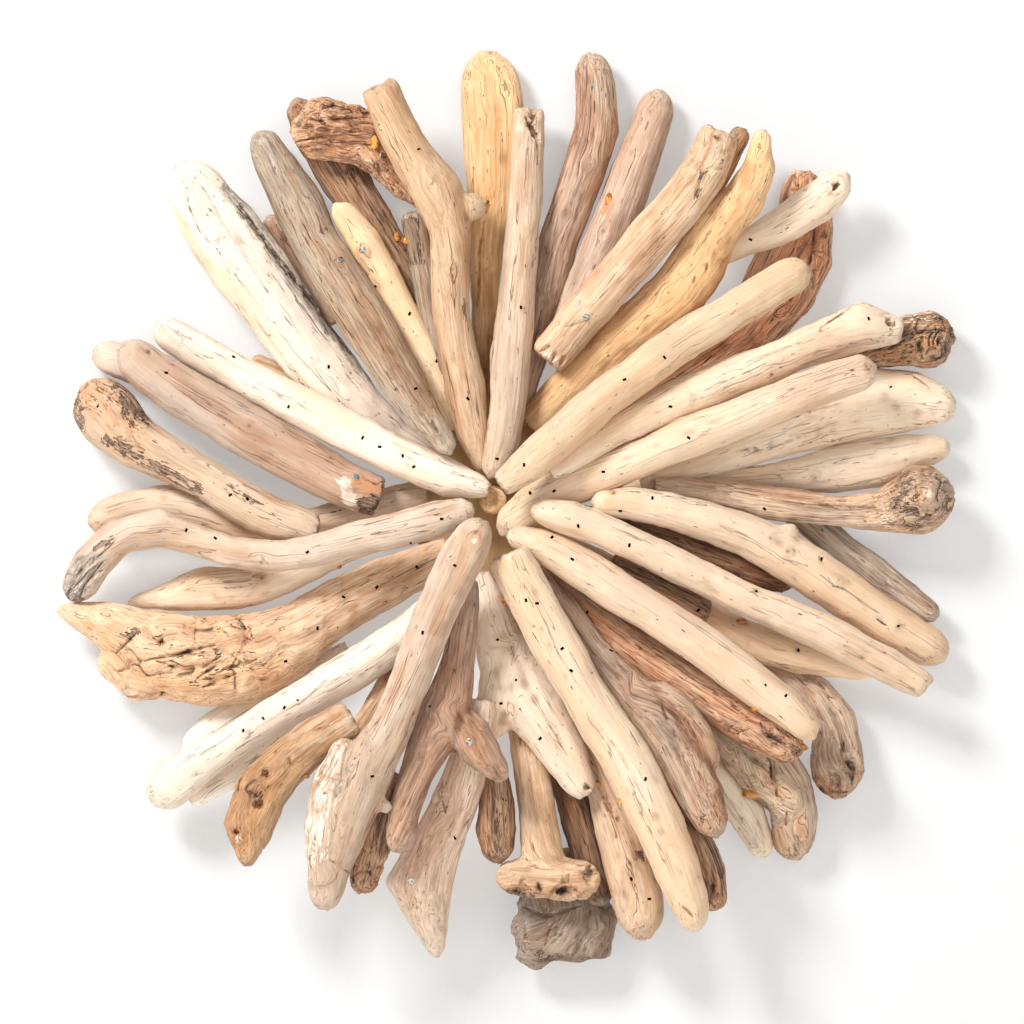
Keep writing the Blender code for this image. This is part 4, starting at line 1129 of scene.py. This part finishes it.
              voxel=0.0017, rounding=14, lumps=0.001,
              dents=(dent(30, 5, 517, 890, 527, 891, dark=1.0), dent(40, 7, 558, 891, 572, 892, dark=1.0),
                     dent(25, 5, 589, 866, 590, 880, dark=0.9), dent(10, 3, 538, 883, 541, 892, dark=0.9)),
              patches=(spot(bark, 14, 510, 892, 530, 896, share=0.6),
                       spot(bark, 12, 510, 838, 505, 850, share=0.7))),
        Stick("stick_33_grey_slab", replace(slate, light=(0.74, 0.68, 0.62), streaks=0.5, relief=0.5),
              voxel=0.0018, rounding=21, lumps=0.0014, flutes=0.0004, gnarl=0.0003,
              dents=(dent(7, 2.0, 520, 905, 545, 915, 580, 905, dark=0.6),
                     dent(5, 1.5, 545, 945, 550, 925, dark=0.6),
                     dent(14, 4, 545, 968, 560, 960, 598, 960, dark=0.3)),
              patches=(spot(bark, 16, 540, 955, 555, 962, share=0.6), spot(grey, 60, 560, 920, share=0.45)),
              burls=(burl(112, 1.2, 540, 935, 590, 930, dark=0.35, scale=(40, 60, 70)),)),
        Stick("stick_34_dark_between", replace(umber, light=(0.76, 0.60, 0.46)),
              patches=(spot(bark, 20, 495, 830, 500, 800, share=0.4),)),
        Stick("stick_35_pinkish_brown",
              replace(rose, light=(1.0, 0.90, 0.80), dark=(0.76, 0.63, 0.54), streaks=0.8), flutes=0.0006,
              lumps=0.001, knots=(Knot(445, 808, 8, 0.8, 0.4),),
              dents=(dent(6, 1.8, 442, 800, 446, 812, dark=0.6), dent(4, 1.2, 455, 836, dark=0.9)),
              patches=(spot(rust, 14, 445, 805, share=0.4),),
              burls=(burl(40, 1.0, 442, 800, 452, 815, dark=0.5),)),
        Stick("stick_36_y_fork", replace(mauve, light=(0.84, 0.70, 0.60), streaks=0.6), flutes=0.0007,
              voxel=0.0016, arms_px=(line(494, 778, 482, 762, 470, 742, 455, 718),),
              knots=(Knot(430, 706, 4), Knot(469, 741, 6))),
        Stick("stick_37_brown_gnarled", umber, lumps=0.0012, flutes=0.0012, gnarl=0.0006,
              dents=(dent(6, 2, 370, 860, 372, 885), dent(5, 2, 383, 835, 380, 850)),
              burls=(burl(50, 1.6, 385, 830, 372, 880, dark=0.4),)),
        Stick("stick_38_diagonal_rotten_side",
              replace(rose, light=(0.86, 0.75, 0.65), dark=(0.64, 0.52, 0.43), streaks=0.45),
              arms_px=(line(350, 740, 340, 765, 330, 795, 322, 830, 322, 870),), voxel=0.0018, rounding=14,
              dents=(dent(18, 3.2, 340, 775, 336, 795, dark=0.35),
                     dent(7, 2.0, 335, 740, 345, 748, dark=0.4),
                     dent(5, 1.6, 330, 858, 342, 866, 352, 872, dark=0.8), dent(5, 1.5, 325, 792, dark=0.8),
                     dent(6, 1.2, 352, 770, 345, 800, 335, 830, dark=0.35)),
              knots=(Knot(474, 540, 8, 0.8, 0.1), Knot(455, 564, 4), Knot(325, 880, 5)),
              patches=(spot(bleach, 34, 335, 745, 325, 790, 315, 830, 312, 850, share=0.55),
                       spot(bleach, 8, 474, 540, share=0.8), spot(grey, 20, 345, 765, 340, 790, share=0.5)),
              burls=(burl(40, 1.4, 340, 752, 330, 800, 322, 850, dark=0.3),)),
        Stick("stick_39_hollowed_yellow", replace(tan, light=(0.86, 0.71, 0.55), dark=(0.56, 0.41, 0.29)),
              voxel=0.0016, rounding=14, lumps=0.0011, gnarl=0.0005,
              dents=(dent(7, 3.5, 237, 831, dark=1.0), dent(9, 4.5, 261, 804, dark=1.0),
                     dent(10, 4.0, 268, 775, 264, 770, dark=0.9),
                     dent(12, 3.0, 250, 790, 258, 796, dark=0.6), dent(6, 2.0, 240, 840, dark=0.8)),
              patches=(spot(bark, 16, 262, 790, 255, 800, share=0.42),
                       spot(bleach, 10, 240, 838, share=0.5)),
              burls=(burl(50, 1.3, 275, 765, 250, 800, 238, 845, dark=0.7),)),
        Stick("stick_40_white_straight", replace(bone, mottle=0.12, streaks=0.3),
              knots=(Knot(245, 730, 4), Knot(299, 700, 3))),
        # Painted light: near white, far lighter than its own mauve, making up for the shade it lies in
        # behind the others.
        Stick("stick_41_thin_mauve",
              replace(bone, light=(1.0, 1.0, 0.97), dark=(1.0, 0.95, 0.89), weathering=0.0)),
        Stick("stick_42_cream_under", replace(bone, light=(1.0, 0.97, 0.92))),
        Stick("stick_43_great_burl", replace(tan, light=(0.99, 0.85, 0.70)), voxel=0.0019, lumps=0.0014,
              rounding=15, arms_px=(line(102, 655, 125, 680, 150, 688, 175, 680, 220, 672),),
              dents=(dent(10, 4.5, 163, 639, 161, 645, dark=1.0),
                     dent(9, 2.4, 150, 659, 172, 656, 195, 649, 216, 645, dark=0.85),
                     dent(9, 2.6, 158, 661, 184, 670, 203, 667, 221, 656, dark=0.85),
                     dent(10, 2.4, 198, 678, 220, 663, 241, 667, 257, 659, dark=0.8),
                     dent(9, 2.2, 204, 687, 219, 681, 236, 674, dark=0.85),
                     dent(8, 2.0, 235, 614, 246, 628, 248, 642, 240, 655, 231, 668, dark=0.75),
                     dent(5, 2.0, 117, 653, 127, 643, 137, 633, dark=0.95),
                     dent(8, 1.8, 250, 700, 262, 692, dark=0.7), dent(6, 1.4, 184, 628, 196, 622, dark=0.6),
                     dent(12, -1.6, 168, 664, 186, 662, 204, 657, dark=0),
                     dent(14, -1.5, 205, 676, 232, 664, dark=0),
                     dent(12, -1.2, 222, 630, 236, 642, 232, 655, dark=0),
                     dent(4, 1.2, 150, 697, dark=0.9)),
              knots=(Knot(186, 628, 6, 0.8), Knot(132, 632, 5, 1.0, 0.6), Knot(158, 627, 5, 0.8, 0.5)),
              patches=(spot(bark, 24, 158, 640, 180, 655, 215, 655, share=0.32),
                       spot(bark, 24, 198, 680, 236, 672, 262, 655, share=0.32),
                       spot(bark, 18, 236, 612, 248, 640, share=0.28),
                       spot(rust, 26, 140, 676, 190, 692, share=0.45),
                       spot(bark, 14, 124, 640, 140, 632, share=0.5),
                       spot(grey, 24, 130, 690, 150, 697, share=0.5),
                       spot(rust, 60, 150, 660, 240, 680, share=0.3),
                       spot(rust, 22, 60, 612, 100, 640, share=0.3)),
              burls=(burl(100, 1.8, 150, 668, 190, 655, 240, 652, dark=0.75, scale=(44, 44, 60)),)),
        Stick("stick_44_hook",
              replace(rose, light=(0.89, 0.81, 0.73), dark=(0.74, 0.65, 0.56), streaks=0.45),
              knots=(Knot(262, 562, 7, 0.8, 0.5),), voxel=0.0017,
              dents=(dent(5, 1.8, 92, 578, 104, 570, dark=0.7), dent(5, 1.8, 72, 612, 78, 596, dark=0.9),
                     dent(5, 1.0, 262, 556, 270, 566, dark=0.7),
                     dent(5, 1.6, 66, 600, 76, 576, 92, 558, dark=0.8),
                     dent(5, 1.6, 78, 604, 86, 584, 104, 562, dark=0.8),
                     dent(4, 1.2, 72, 590, 90, 570, dark=0.7),
                     dent(4, 1.2, 95, 560, 112, 545, 118, 538, dark=0.7)),
              burls=(burl(30, 1.2, 68, 602, 76, 588, 88, 568, dark=0.5, scale=(90, 40, 120)),),
              patches=(spot(grey, 46, 66, 602, 76, 588, 90, 566, share=0.95),
                       spot(bark, 12, 66, 600, 84, 604, share=0.6),
                       spot(bark, 9, 96, 548, 112, 538, share=0.7),
                       spot(bleach, 10, 75, 590, 95, 565, share=0.6), spot(rust, 10, 145, 537, share=0.8))),
        Stick("stick_45_cream_spindle", replace(cream, light=(1.0, 0.92, 0.82), dark=(0.80, 0.68, 0.56)),
              flutes=0.0005, knots=(Knot(262, 578, 6, 0.7, 0.4),)),
        Stick("stick_46_cream_behind_hook",
              replace(cream, light=(0.90, 0.81, 0.71), dark=(0.76, 0.65, 0.55)),
              patches=(spot(rust, 12, 165, 497, share=0.6),)),
        Stick("stick_47_dark_knob", replace(sand, light=(0.90, 0.79, 0.68), streaks=0.5), lumps=0.001,
              voxel=0.0018, dents=(dent(4, 1.2, 122, 437, dark=0.8),),
              knots=(Knot(128, 440, 6), Knot(99, 406, 3)),
              patches=(spot(bark, 26, 118, 388, 132, 402, 142, 418, share=0.55),
                       spot(bark, 13, 106, 440, 130, 448, share=0.68),
                       spot(bark, 20, 124, 400, 138, 416, share=0.66),
                       spot(bark, 15, 128, 452, 152, 464, 178, 478, 198, 488, share=0.66),
                       spot(bark, 10, 168, 488, 196, 498, share=0.6),
                       spot(bark, 16, 76, 396, 80, 428, share=0.6),
                       spot(bark, 50, 100, 385, 125, 400, share=0.3), spot(rust, 14, 303, 525, share=0.5),
                       spot(rust, 70, 100, 395, 130, 420, share=0.5),
                       spot(bark, 12, 228, 487, 262, 505, share=0.5)),
              burls=(burl(64, 0.9, 98, 410, 122, 410, dark=0.6, scale=(75, 75, 75)),)),
        Stick("stick_48_cream_short", replace(bone, light=(0.87, 0.79, 0.72), dark=(0.80, 0.72, 0.65))),
        Stick("stick_49_mauve_broken_end",
              replace(rose, light=(0.84, 0.74, 0.66), dark=(0.66, 0.57, 0.50), weathering=0.4, streaks=0.42,
                      cracks=0.3),
              knots=(Knot(250, 426, 6), Knot(356, 477, 5)), dents=(dent(7, 1.6, 150, 352, dark=0.5),),
              patches=(spot(bleach, 18, 345, 484, 351, 503, share=0.95),
                       spot(rust, 26, 360, 484, 382, 492, share=0.9),
                       spot(bark, 20, 366, 505, 385, 501, share=0.95),
                       spot(bark, 8, 384, 484, 386, 508, share=0.8)),
              burls=(burl(34, 1.2, 362, 492, 380, 496, dark=0.7, scale=(90, 90, 90)),)),
        Stick("stick_50_white_top", bone, knots=(Knot(289, 407, 4),),
              patches=(spot(rust, 10, 470, 480, share=0.4),)),
        Stick("stick_51_big_cream", replace(bone, cracks=0.7), lumps=0.0011,
              dents=(dent(4, 1.0, 186, 180, 190, 208, 200, 232, 210, 243, 222, 242, dark=1.0),
                     dent(3.5, 0.9, 194, 176, 206, 192, 216, 208, 232, 236, dark=0.9),
                     dent(3, 0.7, 210, 243, 232, 236, dark=0.6),
                     dent(4, 1.0, 225, 184, 258, 228, 298, 282, 330, 325, dark=0.7),
                     dent(4, 1.0, 240, 205, 275, 256, 318, 310, 352, 352, 372, 374, dark=0.7),
                     dent(3, 0.8, 345, 372, 362, 392, dark=0.6),
                     dent(3, 0.8, 333, 378, 341, 394, dark=0.6)),
              patches=(spot(grey, 20, 228, 186, 262, 236, 300, 288, 338, 336, 375, 378, share=0.95),
                       spot(bark, 8, 240, 208, 275, 256, 318, 308, 350, 352, share=0.6),
                       spot(grey, 6, 190, 190, 198, 230, 214, 242, share=0.45))),
        Stick("stick_52_tan_stub", replace(rose, light=(0.84, 0.71, 0.61), dark=(0.58, 0.46, 0.38))),
        Stick("stick_53_grey_round", ash, flutes=0.0005,
              knots=(Knot(325, 230, 6), Knot(341, 260, 6, 0.7, 0.7)),
              dents=(dent(9, 1.6, 433, 420, 438, 432, dark=0.8),),
              patches=(spot(grey, 28, 265, 140, 275, 160, share=0.5),
                       spot(rust, 10, 288, 172, 300, 190, share=0.45),
                       spot(rust, 14, 352, 285, 378, 318, 400, 350, share=0.35))),
        Stick("stick_54_gnarled_knot", replace(russet, light=(0.93, 0.74, 0.58)), voxel=0.0018, rounding=11,
              lumps=0.0016, flutes=0.0012, gnarl=0.0006,
              arms_px=(line(291, 137, 312, 135, 342, 134, 366, 140, 388, 166, 404, 190),),
              dents=(dent(10, 4.0, 318, 112, 334, 106, 352, 112, dark=1.0),
                     dent(6, 2.6, 306, 118, 318, 122, 340, 120, 368, 118, dark=0.9),
                     dent(8, 2.4, 298, 130, 326, 124, dark=0.7),
                     dent(8, 2.6, 300, 142, 322, 138, 346, 146, 372, 146, dark=0.8),
                     dent(12, -2.0, 325, 112, 365, 108, dark=0), dent(14, -1.8, 310, 131, 350, 131, dark=0),
                     dent(7, 2.2, 300, 148, 325, 146, 350, 152, dark=0.7),
                     dent(7, 2.0, 372, 165, 395, 185, dark=0.5)),
              knots=(Knot(380, 150, 7),),
              patches=(spot(rust, 12, 374, 143, 378, 152, share=1.0),
                       spot(bark, 12, 330, 108, 350, 112, share=0.5),
                       spot(bleach, 14, 360, 150, 390, 175, share=0.3)),
              burls=(burl(84, 2.4, 310, 132, 360, 138, dark=0.5, scale=(25, 60, 70)),
                     burl(40, 1.0, 385, 170, 405, 200, dark=0.4))),
        Stick("stick_55_brown_straight", replace(umber, light=(0.74, 0.56, 0.42)), flutes=0.0009,
              lumps=0.001, gnarl=0.0006,
              dents=(dent(5, 1.5, 350, 170, 358, 185, dark=0.8),
                     dent(5, 1.5, 395, 235, 410, 255, dark=0.8)),
              patches=(spot(rust, 12, 398, 238, 408, 244, share=0.85),
                       spot(bark, 14, 352, 172, share=0.7))),
        Stick("stick_56_thin_honey", replace(cream, light=(1.0, 0.91, 0.77), dark=(0.83, 0.69, 0.52)),
              knots=(Knot(376, 287, 4), Knot(364, 252, 7, 0.9, 0.35)),
              dents=(dent(4, 1.2, 360, 265, 370, 280, dark=0.7),)),
        Stick("stick_57_elbow", replace(tan, light=(0.90, 0.77, 0.63), dark=(0.68, 0.55, 0.43)),
              cut_rim=True, knots=(Knot(419, 150, 4), Knot(452, 270, 7, 0.6, 0.35), Knot(432, 185, 6))),
        Stick("centre_peg", replace(honey, light=(1.0, 0.86, 0.66), dark=(0.88, 0.66, 0.45), cracks=0.8),
              rounding=6, lumps=0.0003, flutes=0.0002, cut_rim=True, voxel=0.0014),
        Sliver("sliver_mottled_grey", ash, line_px=((413, 214, 26), (445, 380, 26)), depth=-0.031,
               slot="grey", patches=(spot(bark, 20, 410, 225, 414, 258, share=0.95),), voxel=0.0016),
        Sliver("sliver_brown_by_knobbly", umber, line_px=((742, 130, 18), (690, 225, 26)), depth=-0.033),
        Sliver("sliver_dark_under_long", umber, line_px=((708, 612, 22), (610, 566, 30)), depth=-0.030),
        Sliver("sliver_tan_by_knob", tan, line_px=((252, 362, 18), (335, 402, 26)), depth=-0.006,
               slot="tan"),
        Sliver("sliver_splintered", replace(tan, cracks=0.8), line_px=((352, 745, 20), (410, 655, 28)),
               depth=-0.052, slot="tan", flutes=0.0012,
               patches=(spot(bark, 8, 368, 735, 380, 715, share=0.8),)),
    ]


# Fastenings

BRADS_PX = line(
    521, 308, 416, 389, 468, 399, 437, 361, 497, 459, 524, 465, 624, 380, 664, 358, 363, 438, 380, 447,
    403, 456, 414, 467, 234, 357, 289, 407, 442, 519, 411, 543, 308, 552, 216, 538, 187, 530, 603, 472,
    530, 493, 554, 491, 688, 438, 652, 498, 620, 511, 578, 526, 552, 537, 572, 559, 629, 545, 755, 591,
    765, 685, 785, 695, 455, 565, 423, 632, 373, 775, 417, 567, 377, 587, 344, 597, 318, 628, 286, 661,
    264, 718, 285, 707, 299, 700, 244, 730, 231, 495, 248, 499, 99, 406, 167, 373, 329, 367, 419, 150,
    376, 287, 410, 314, 670, 407, 868, 319, 890, 387, 764, 509, 821, 559, 898, 626, 798, 650, 698, 610,
    611, 650, 584, 612, 537, 603, 526, 600, 562, 648, 571, 670, 645, 778, 649, 898, 631, 878, 430, 706,
    497, 639, 516, 680, 501, 703, 455, 837, 540, 738, 750, 240)
NAILS_PX = line(586, 318, 356, 477, 363, 251, 383, 157, 469, 741, 411, 880, 807, 752, 341, 260)
GLUE_PX = ((609, 200, 8, 14), (397, 237, 7, 10), (407, 241, 8, 8), (375, 143, 9, 15), (742, 622, 14, 8),
           (752, 793, 20, 11), (805, 745, 10, 8), (754, 708, 7, 7), (612, 493, 6, 6), (597, 783, 8, 7),
           (620, 800, 5, 8), (310, 775, 7, 6), (505, 603, 8, 12), (342, 568, 5, 5))


@dataclass
class Fastenings:
    """The brads, the nails and the drops of glue, each laid on the wood in front."""

    pieces: list[bpy.types.Object]
    brad_length: float = 0.0024
    brad_width: float = 0.0016
    nail_radius: float = 0.0023
    head_sink: float = 0.0003
    drop_sink: float = 0.0002
    ray_start: float = -0.3
    search_px: int = 24
    tree: BVHTree = field(init=False)

    def build(self) -> None:
        """Make all three kinds."""
        self.tree = self.wood_tree()
        brads = [self.seat(*point, index * 1.9, self.head_sink) for index, point in enumerate(BRADS_PX)]
        self.repeat("brad_heads", self.brad(), brads,
                    Steel((0.10, 0.09, 0.085), (0.05, 0.04, 0.035), 0.55))
        self.repeat("nail_heads", self.nail(), [self.seat(*point, 0, self.head_sink) for point in NAILS_PX],
                    Steel((0.78, 0.77, 0.75), (0.40, 0.36, 0.33), 0.28))
        self.repeat("glue_drops", self.drop(), [self.drop_place(*drop) for drop in GLUE_PX],
                    Glue())

    def wood_tree(self) -> BVHTree:
        """One search tree over the finished sticks."""
        corners, faces = [], []
        for piece in self.pieces:
            start = len(corners)
            corners += [vertex.co.copy() for vertex in piece.data.vertices]
            faces += [[start + index for index in face.vertices] for face in piece.data.polygons]
        return BVHTree.FromPolygons(corners, faces)

    def seat(self, x_px: float, y_px: float, turn: float, sink: float) -> Matrix:
        """Where something lies on the nearest wood that faces forward, its local Z out of the surface."""
        around = [(ring * math.cos(angle), ring * math.sin(angle)) for ring in range(0, self.search_px, 3)
                  for angle in np.arange(0, 2 * math.pi, math.pi / 6)]
        for right, down in around:
            x, z = on_face(x_px + right, y_px + down)
            place, normal, _, _ = self.tree.ray_cast(Vector((x, self.ray_start, z)), Vector((0, 1, 0)))
            if place is not None and normal.y < -0.3:
                break
        facing = normal.to_track_quat("Z", "X").to_matrix().to_4x4()
        return Matrix.Translation(place - normal * sink) @ facing @ Matrix.Rotation(turn, 4, "Z")

    def brad(self) -> bpy.types.Object:
        """A small oblong head."""
        bpy.ops.object.select_all(action="DESELECT")
        bpy.ops.mesh.primitive_cube_add(size=1)
        piece = bpy.context.object
        piece.data.transform(Matrix.Diagonal((self.brad_length, self.brad_width, 0.0008, 1)))
        apply(piece, "BEVEL", width=0.00015, segments=1)
        return piece

    def nail(self) -> bpy.types.Object:
        """A flat round head with a rounded edge."""
        bpy.ops.object.select_all(action="DESELECT")
        bpy.ops.mesh.primitive_cylinder_add(vertices=20, radius=self.nail_radius, depth=0.0014)
        piece = bpy.context.object
        apply(piece, "BEVEL", width=0.0004, segments=3, limit_method="ANGLE")
        piece.data.shade_smooth()
        return piece

    def drop(self) -> bpy.types.Object:
        """A drop of glue, a little uneven, one unit wide."""
        bpy.ops.object.select_all(action="DESELECT")
        bpy.ops.mesh.primitive_ico_sphere_add(subdivisions=3, radius=0.5)
        piece = bpy.context.object
        corners = vertex_table(piece, "co")
        write_corners(piece, corners * (1 + 0.35 * noise_at(corners * 2.2, 7.0))[:, None])
        piece.data.shade_smooth()
        return piece

    def drop_place(self, x_px: float, y_px: float, width_px: float, height_px: float) -> Matrix:
        """Where a drop lies, at its size."""
        seat = self.seat(x_px, y_px, 0, self.drop_sink).translation
        return Matrix.Translation(seat) @ Matrix.Diagonal((width_px * PIXEL, 0.0030, height_px * PIXEL, 1))

    def repeat(self, name: str, piece: bpy.types.Object, places: list[Matrix], finish: Steel | Glue) -> None:
        """Copy a piece to every place, join the copies, and give them their finish.

        Args:
            name: The joined piece's name.
            piece: The piece that is repeated.
            places: Where each copy goes.
            finish: Their finish.
        """
        copies = [piece.data.copy() for _ in places]
        bpy.ops.object.select_all(action="DESELECT")
        for place, data in zip(places, copies):
            data.transform(place)
            copy = bpy.data.objects.new(name, data)
            bpy.context.scene.collection.objects.link(copy)
            copy.select_set(True)
        bpy.data.objects.remove(piece)
        piece = bpy.context.selected_objects[0]
        bpy.context.view_layer.objects.active = piece
        bpy.ops.object.join()
        piece.name = piece.data.name = name
        piece.data.materials.clear()
        piece.data.materials.append(finish.material(name))
        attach(piece, "root")
        log.info("%s: %d faces", name, len(piece.data.polygons))


@dataclass
class Back:
    """What the sticks are fixed to and hang by: the disc, the toothed strip and its two screws."""

    frame: dict
    screw_radius: float = 0.0026
    screw_apart: float = 0.019

    def build(self) -> None:
        """Dress the disc and the strip, and add the screws."""
        self.dress("base_disc", "disc_plywood", 0.0006, Plywood())
        self.dress("sawtooth_hanger", "hanger_strip", 0.00012,
                   Steel((0.72, 0.72, 0.74), (0.52, 0.52, 0.54), 0.3))
        low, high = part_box("sawtooth_hanger")
        for side in (-1, 1):
            name = f"hanger_screw_{(side + 3) // 2}"
            self.screw(side * self.screw_apart, high[1], (low[2] + high[2]) / 2, name)

    def dress(self, node: str, name: str, width: float, finish: Plywood | Steel) -> None:
        """Copy a node, break its sharp edges, and give it its finish."""
        piece = bpy.data.objects.new(name, self.frame["nodes"][node].data.copy())
        bpy.context.scene.collection.objects.link(piece)
        pick(piece)
        bpy.ops.object.mode_set(mode="EDIT")
        bpy.ops.mesh.select_all(action="SELECT")
        bpy.ops.mesh.remove_doubles(threshold=MERGE_GAP)
        bpy.ops.mesh.dissolve_limited(angle_limit=math.radians(1))
        bpy.ops.object.mode_set(mode="OBJECT")
        apply(piece, "BEVEL", width=width, segments=2, limit_method="ANGLE", angle_limit=math.radians(40))
        apply(piece, "TRIANGULATE")
        piece.data.materials.clear()
        piece.data.materials.append(finish.material(name))
        bpy.ops.object.shade_smooth_by_angle(angle=math.radians(35))
        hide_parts(node)
        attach(piece, "root")

    def screw(self, x: float, y: float, z: float, name: str) -> None:
        """A flat screw head with a cross recess, lying in the strip."""
        bpy.ops.object.select_all(action="DESELECT")
        bpy.ops.mesh.primitive_cylinder_add(vertices=28, radius=self.screw_radius, depth=0.0010,
                                            rotation=(math.radians(90), 0, 0))
        piece = bpy.context.object
        bpy.ops.object.transform_apply()
        apply(piece, "BEVEL", width=0.0002, segments=2, limit_method="ANGLE")
        for turn in (0.4, 0.4 + math.pi / 2):
            bpy.ops.object.select_all(action="DESELECT")
            bpy.ops.mesh.primitive_cube_add(size=1)
            blade = bpy.context.object
            blade.data.transform(Matrix.Translation((0, 0.0006, 0)) @ Matrix.Rotation(turn, 4, "Y")
                                 @ Matrix.Diagonal((0.0031, 0.0009, 0.0006, 1)))
            apply(piece, "BOOLEAN", operation="DIFFERENCE", object=blade)
            bpy.data.objects.remove(blade)
        piece.data.transform(Matrix.Translation((x, y - 0.0003, z)))
        piece.name = piece.data.name = name
        piece.data.materials.append(Steel((0.66, 0.64, 0.58), (0.40, 0.38, 0.34), 0.32).material(name))
        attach(piece, "root")


# The studio


@dataclass
class Studio:
    """White wall and floor, soft light from the upper left, and the camera square to the face."""

    distance: float = 20.0
    floor_height: float = -0.42
    aim_px: Pixel = (512, 512)

    def build(self) -> None:
        """Set it all up."""
        self.wall()
        self.floor()
        self.lights()
        self.camera()

    def plane(self, name: str, size: float, place: tuple[float, float, float], turn: float,
              bench: Bench) -> None:
        """A plain square of the studio."""
        bpy.ops.object.select_all(action="DESELECT")
        bpy.ops.mesh.primitive_plane_add(size=size)
        item = bpy.context.object
        item.data.transform(Matrix.Translation(place) @ Matrix.Rotation(turn, 4, "X"))
        item.name = name
        item.data.materials.append(bench.material)
        item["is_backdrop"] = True

    def wall(self) -> None:
        """The wall behind, which can't be seen from its back: grey, glowing faintly as painted light that
        lifts the shadows cast on it.
        """
        bench = Bench("wall")
        place = bench.add("ShaderNodeTexCoord", {}, {}, "Object")
        weave = bench.noise(bench.stretched(place, (900, 1, 900)), 1, 2, 0.6)
        bench.feed(bench.shader.inputs["Base Color"],
                   bench.blend(weave, (0.44, 0.435, 0.43, 1), (0.50, 0.50, 0.50, 1)))
        bench.shader.inputs["Roughness"].default_value = 0.9
        # The glow is painted light: it lifts the shadows that fall on the wall and between the sticks.
        bench.shader.inputs["Emission Color"].default_value = (1.0, 0.99, 0.98, 1)
        bench.shader.inputs["Emission Strength"].default_value = 0.33
        bump = bench.add("ShaderNodeBump", {}, {"Strength": 0.25, "Distance": 0.0004, "Height": weave})
        bench.feed(bench.shader.inputs["Normal"], bump)
        back = bench.add("ShaderNodeNewGeometry", {}, {}, "Backfacing")
        clear = bench.add("ShaderNodeBsdfTransparent", {}, {})
        front = Wire(bench, bench.shader.outputs[0])
        both = bench.add("ShaderNodeMixShader", {}, {0: back, 1: front, 2: clear})
        bench.links.new(both.socket, bench.nodes["Material Output"].inputs["Surface"])
        self.plane("wall", 5.0, (0, 0.0015, 2.5 + self.floor_height), math.radians(90), bench)

    def floor(self) -> None:
        """The pale floor in front of and behind the wall."""
        bench = Bench("floor")
        place = bench.add("ShaderNodeTexCoord", {}, {}, "Object")
        cloud = bench.noise(place, 3, 3, 0.6)
        bench.feed(bench.shader.inputs["Base Color"],
                   bench.blend(cloud, (0.80, 0.79, 0.77, 1), (0.86, 0.85, 0.84, 1)))
        bench.shader.inputs["Roughness"].default_value = 0.8
        self.plane("floor", 12.0, (0, 0, self.floor_height), 0.0, bench)

    def lights(self) -> None:
        """A large soft light from the upper left, a weak one from the right, and a bright room."""
        lamps = (("key", (-1.7, -2.2, 2.0), 0.9, 132.0), ("fill", (1.2, -3.0, 0.4), 2.0, 18.0),
                 ("behind", (0.5, 2.6, 1.4), 2.0, 40.0))
        for name, place, size, power in lamps:
            data = bpy.data.lights.new(name, "AREA")
            data.energy, data.size = power, size
            lamp = bpy.data.objects.new(name, data)
            lamp.location = place
            lamp.rotation_euler = (-Vector(place)).to_track_quat("-Z", "Y").to_euler()
            bpy.context.scene.collection.objects.link(lamp)
        world = bpy.data.worlds.new("room")
        world.use_nodes = True
        world.node_tree.nodes["Background"].inputs[0].default_value = (1.0, 1.0, 1.0, 1)
        world.node_tree.nodes["Background"].inputs[1].default_value = 0.42
        bpy.context.scene.world = world
        bpy.context.scene.view_settings.view_transform = "Standard"

    def camera(self) -> None:
        """A long lens square to the face, so that nothing grows with its height over the wall."""
        data = bpy.data.cameras.new("camera")
        data.sensor_width = 36.0
        data.lens = 36.0 * self.distance / (FRAME_PX * PIXEL)
        data.clip_end = 100.0
        lens = bpy.data.objects.new("camera", data)
        x, z = on_face(*self.aim_px)
        lens.location = (x, -self.distance, z)
        lens.rotation_euler = (math.radians(90), 0, 0)
        bpy.context.scene.collection.objects.link(lens)
        bpy.context.scene.camera = lens


def main() -> None:
    """Dress the decor and set up the studio."""
    logging.basicConfig(level=logging.INFO, format="%(message)s")
    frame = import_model()
    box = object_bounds()
    pieces = []
    for index, stick in enumerate(sticks()):
        stick.seed = index + 1
        pieces.append(stick.build(frame, box))
        log.info("%s: %d faces", stick.node, len(pieces[-1].data.polygons))
    Back(frame).build()
    Fastenings(pieces).build()
    Studio().build()


if __name__ == "__main__":
    main()
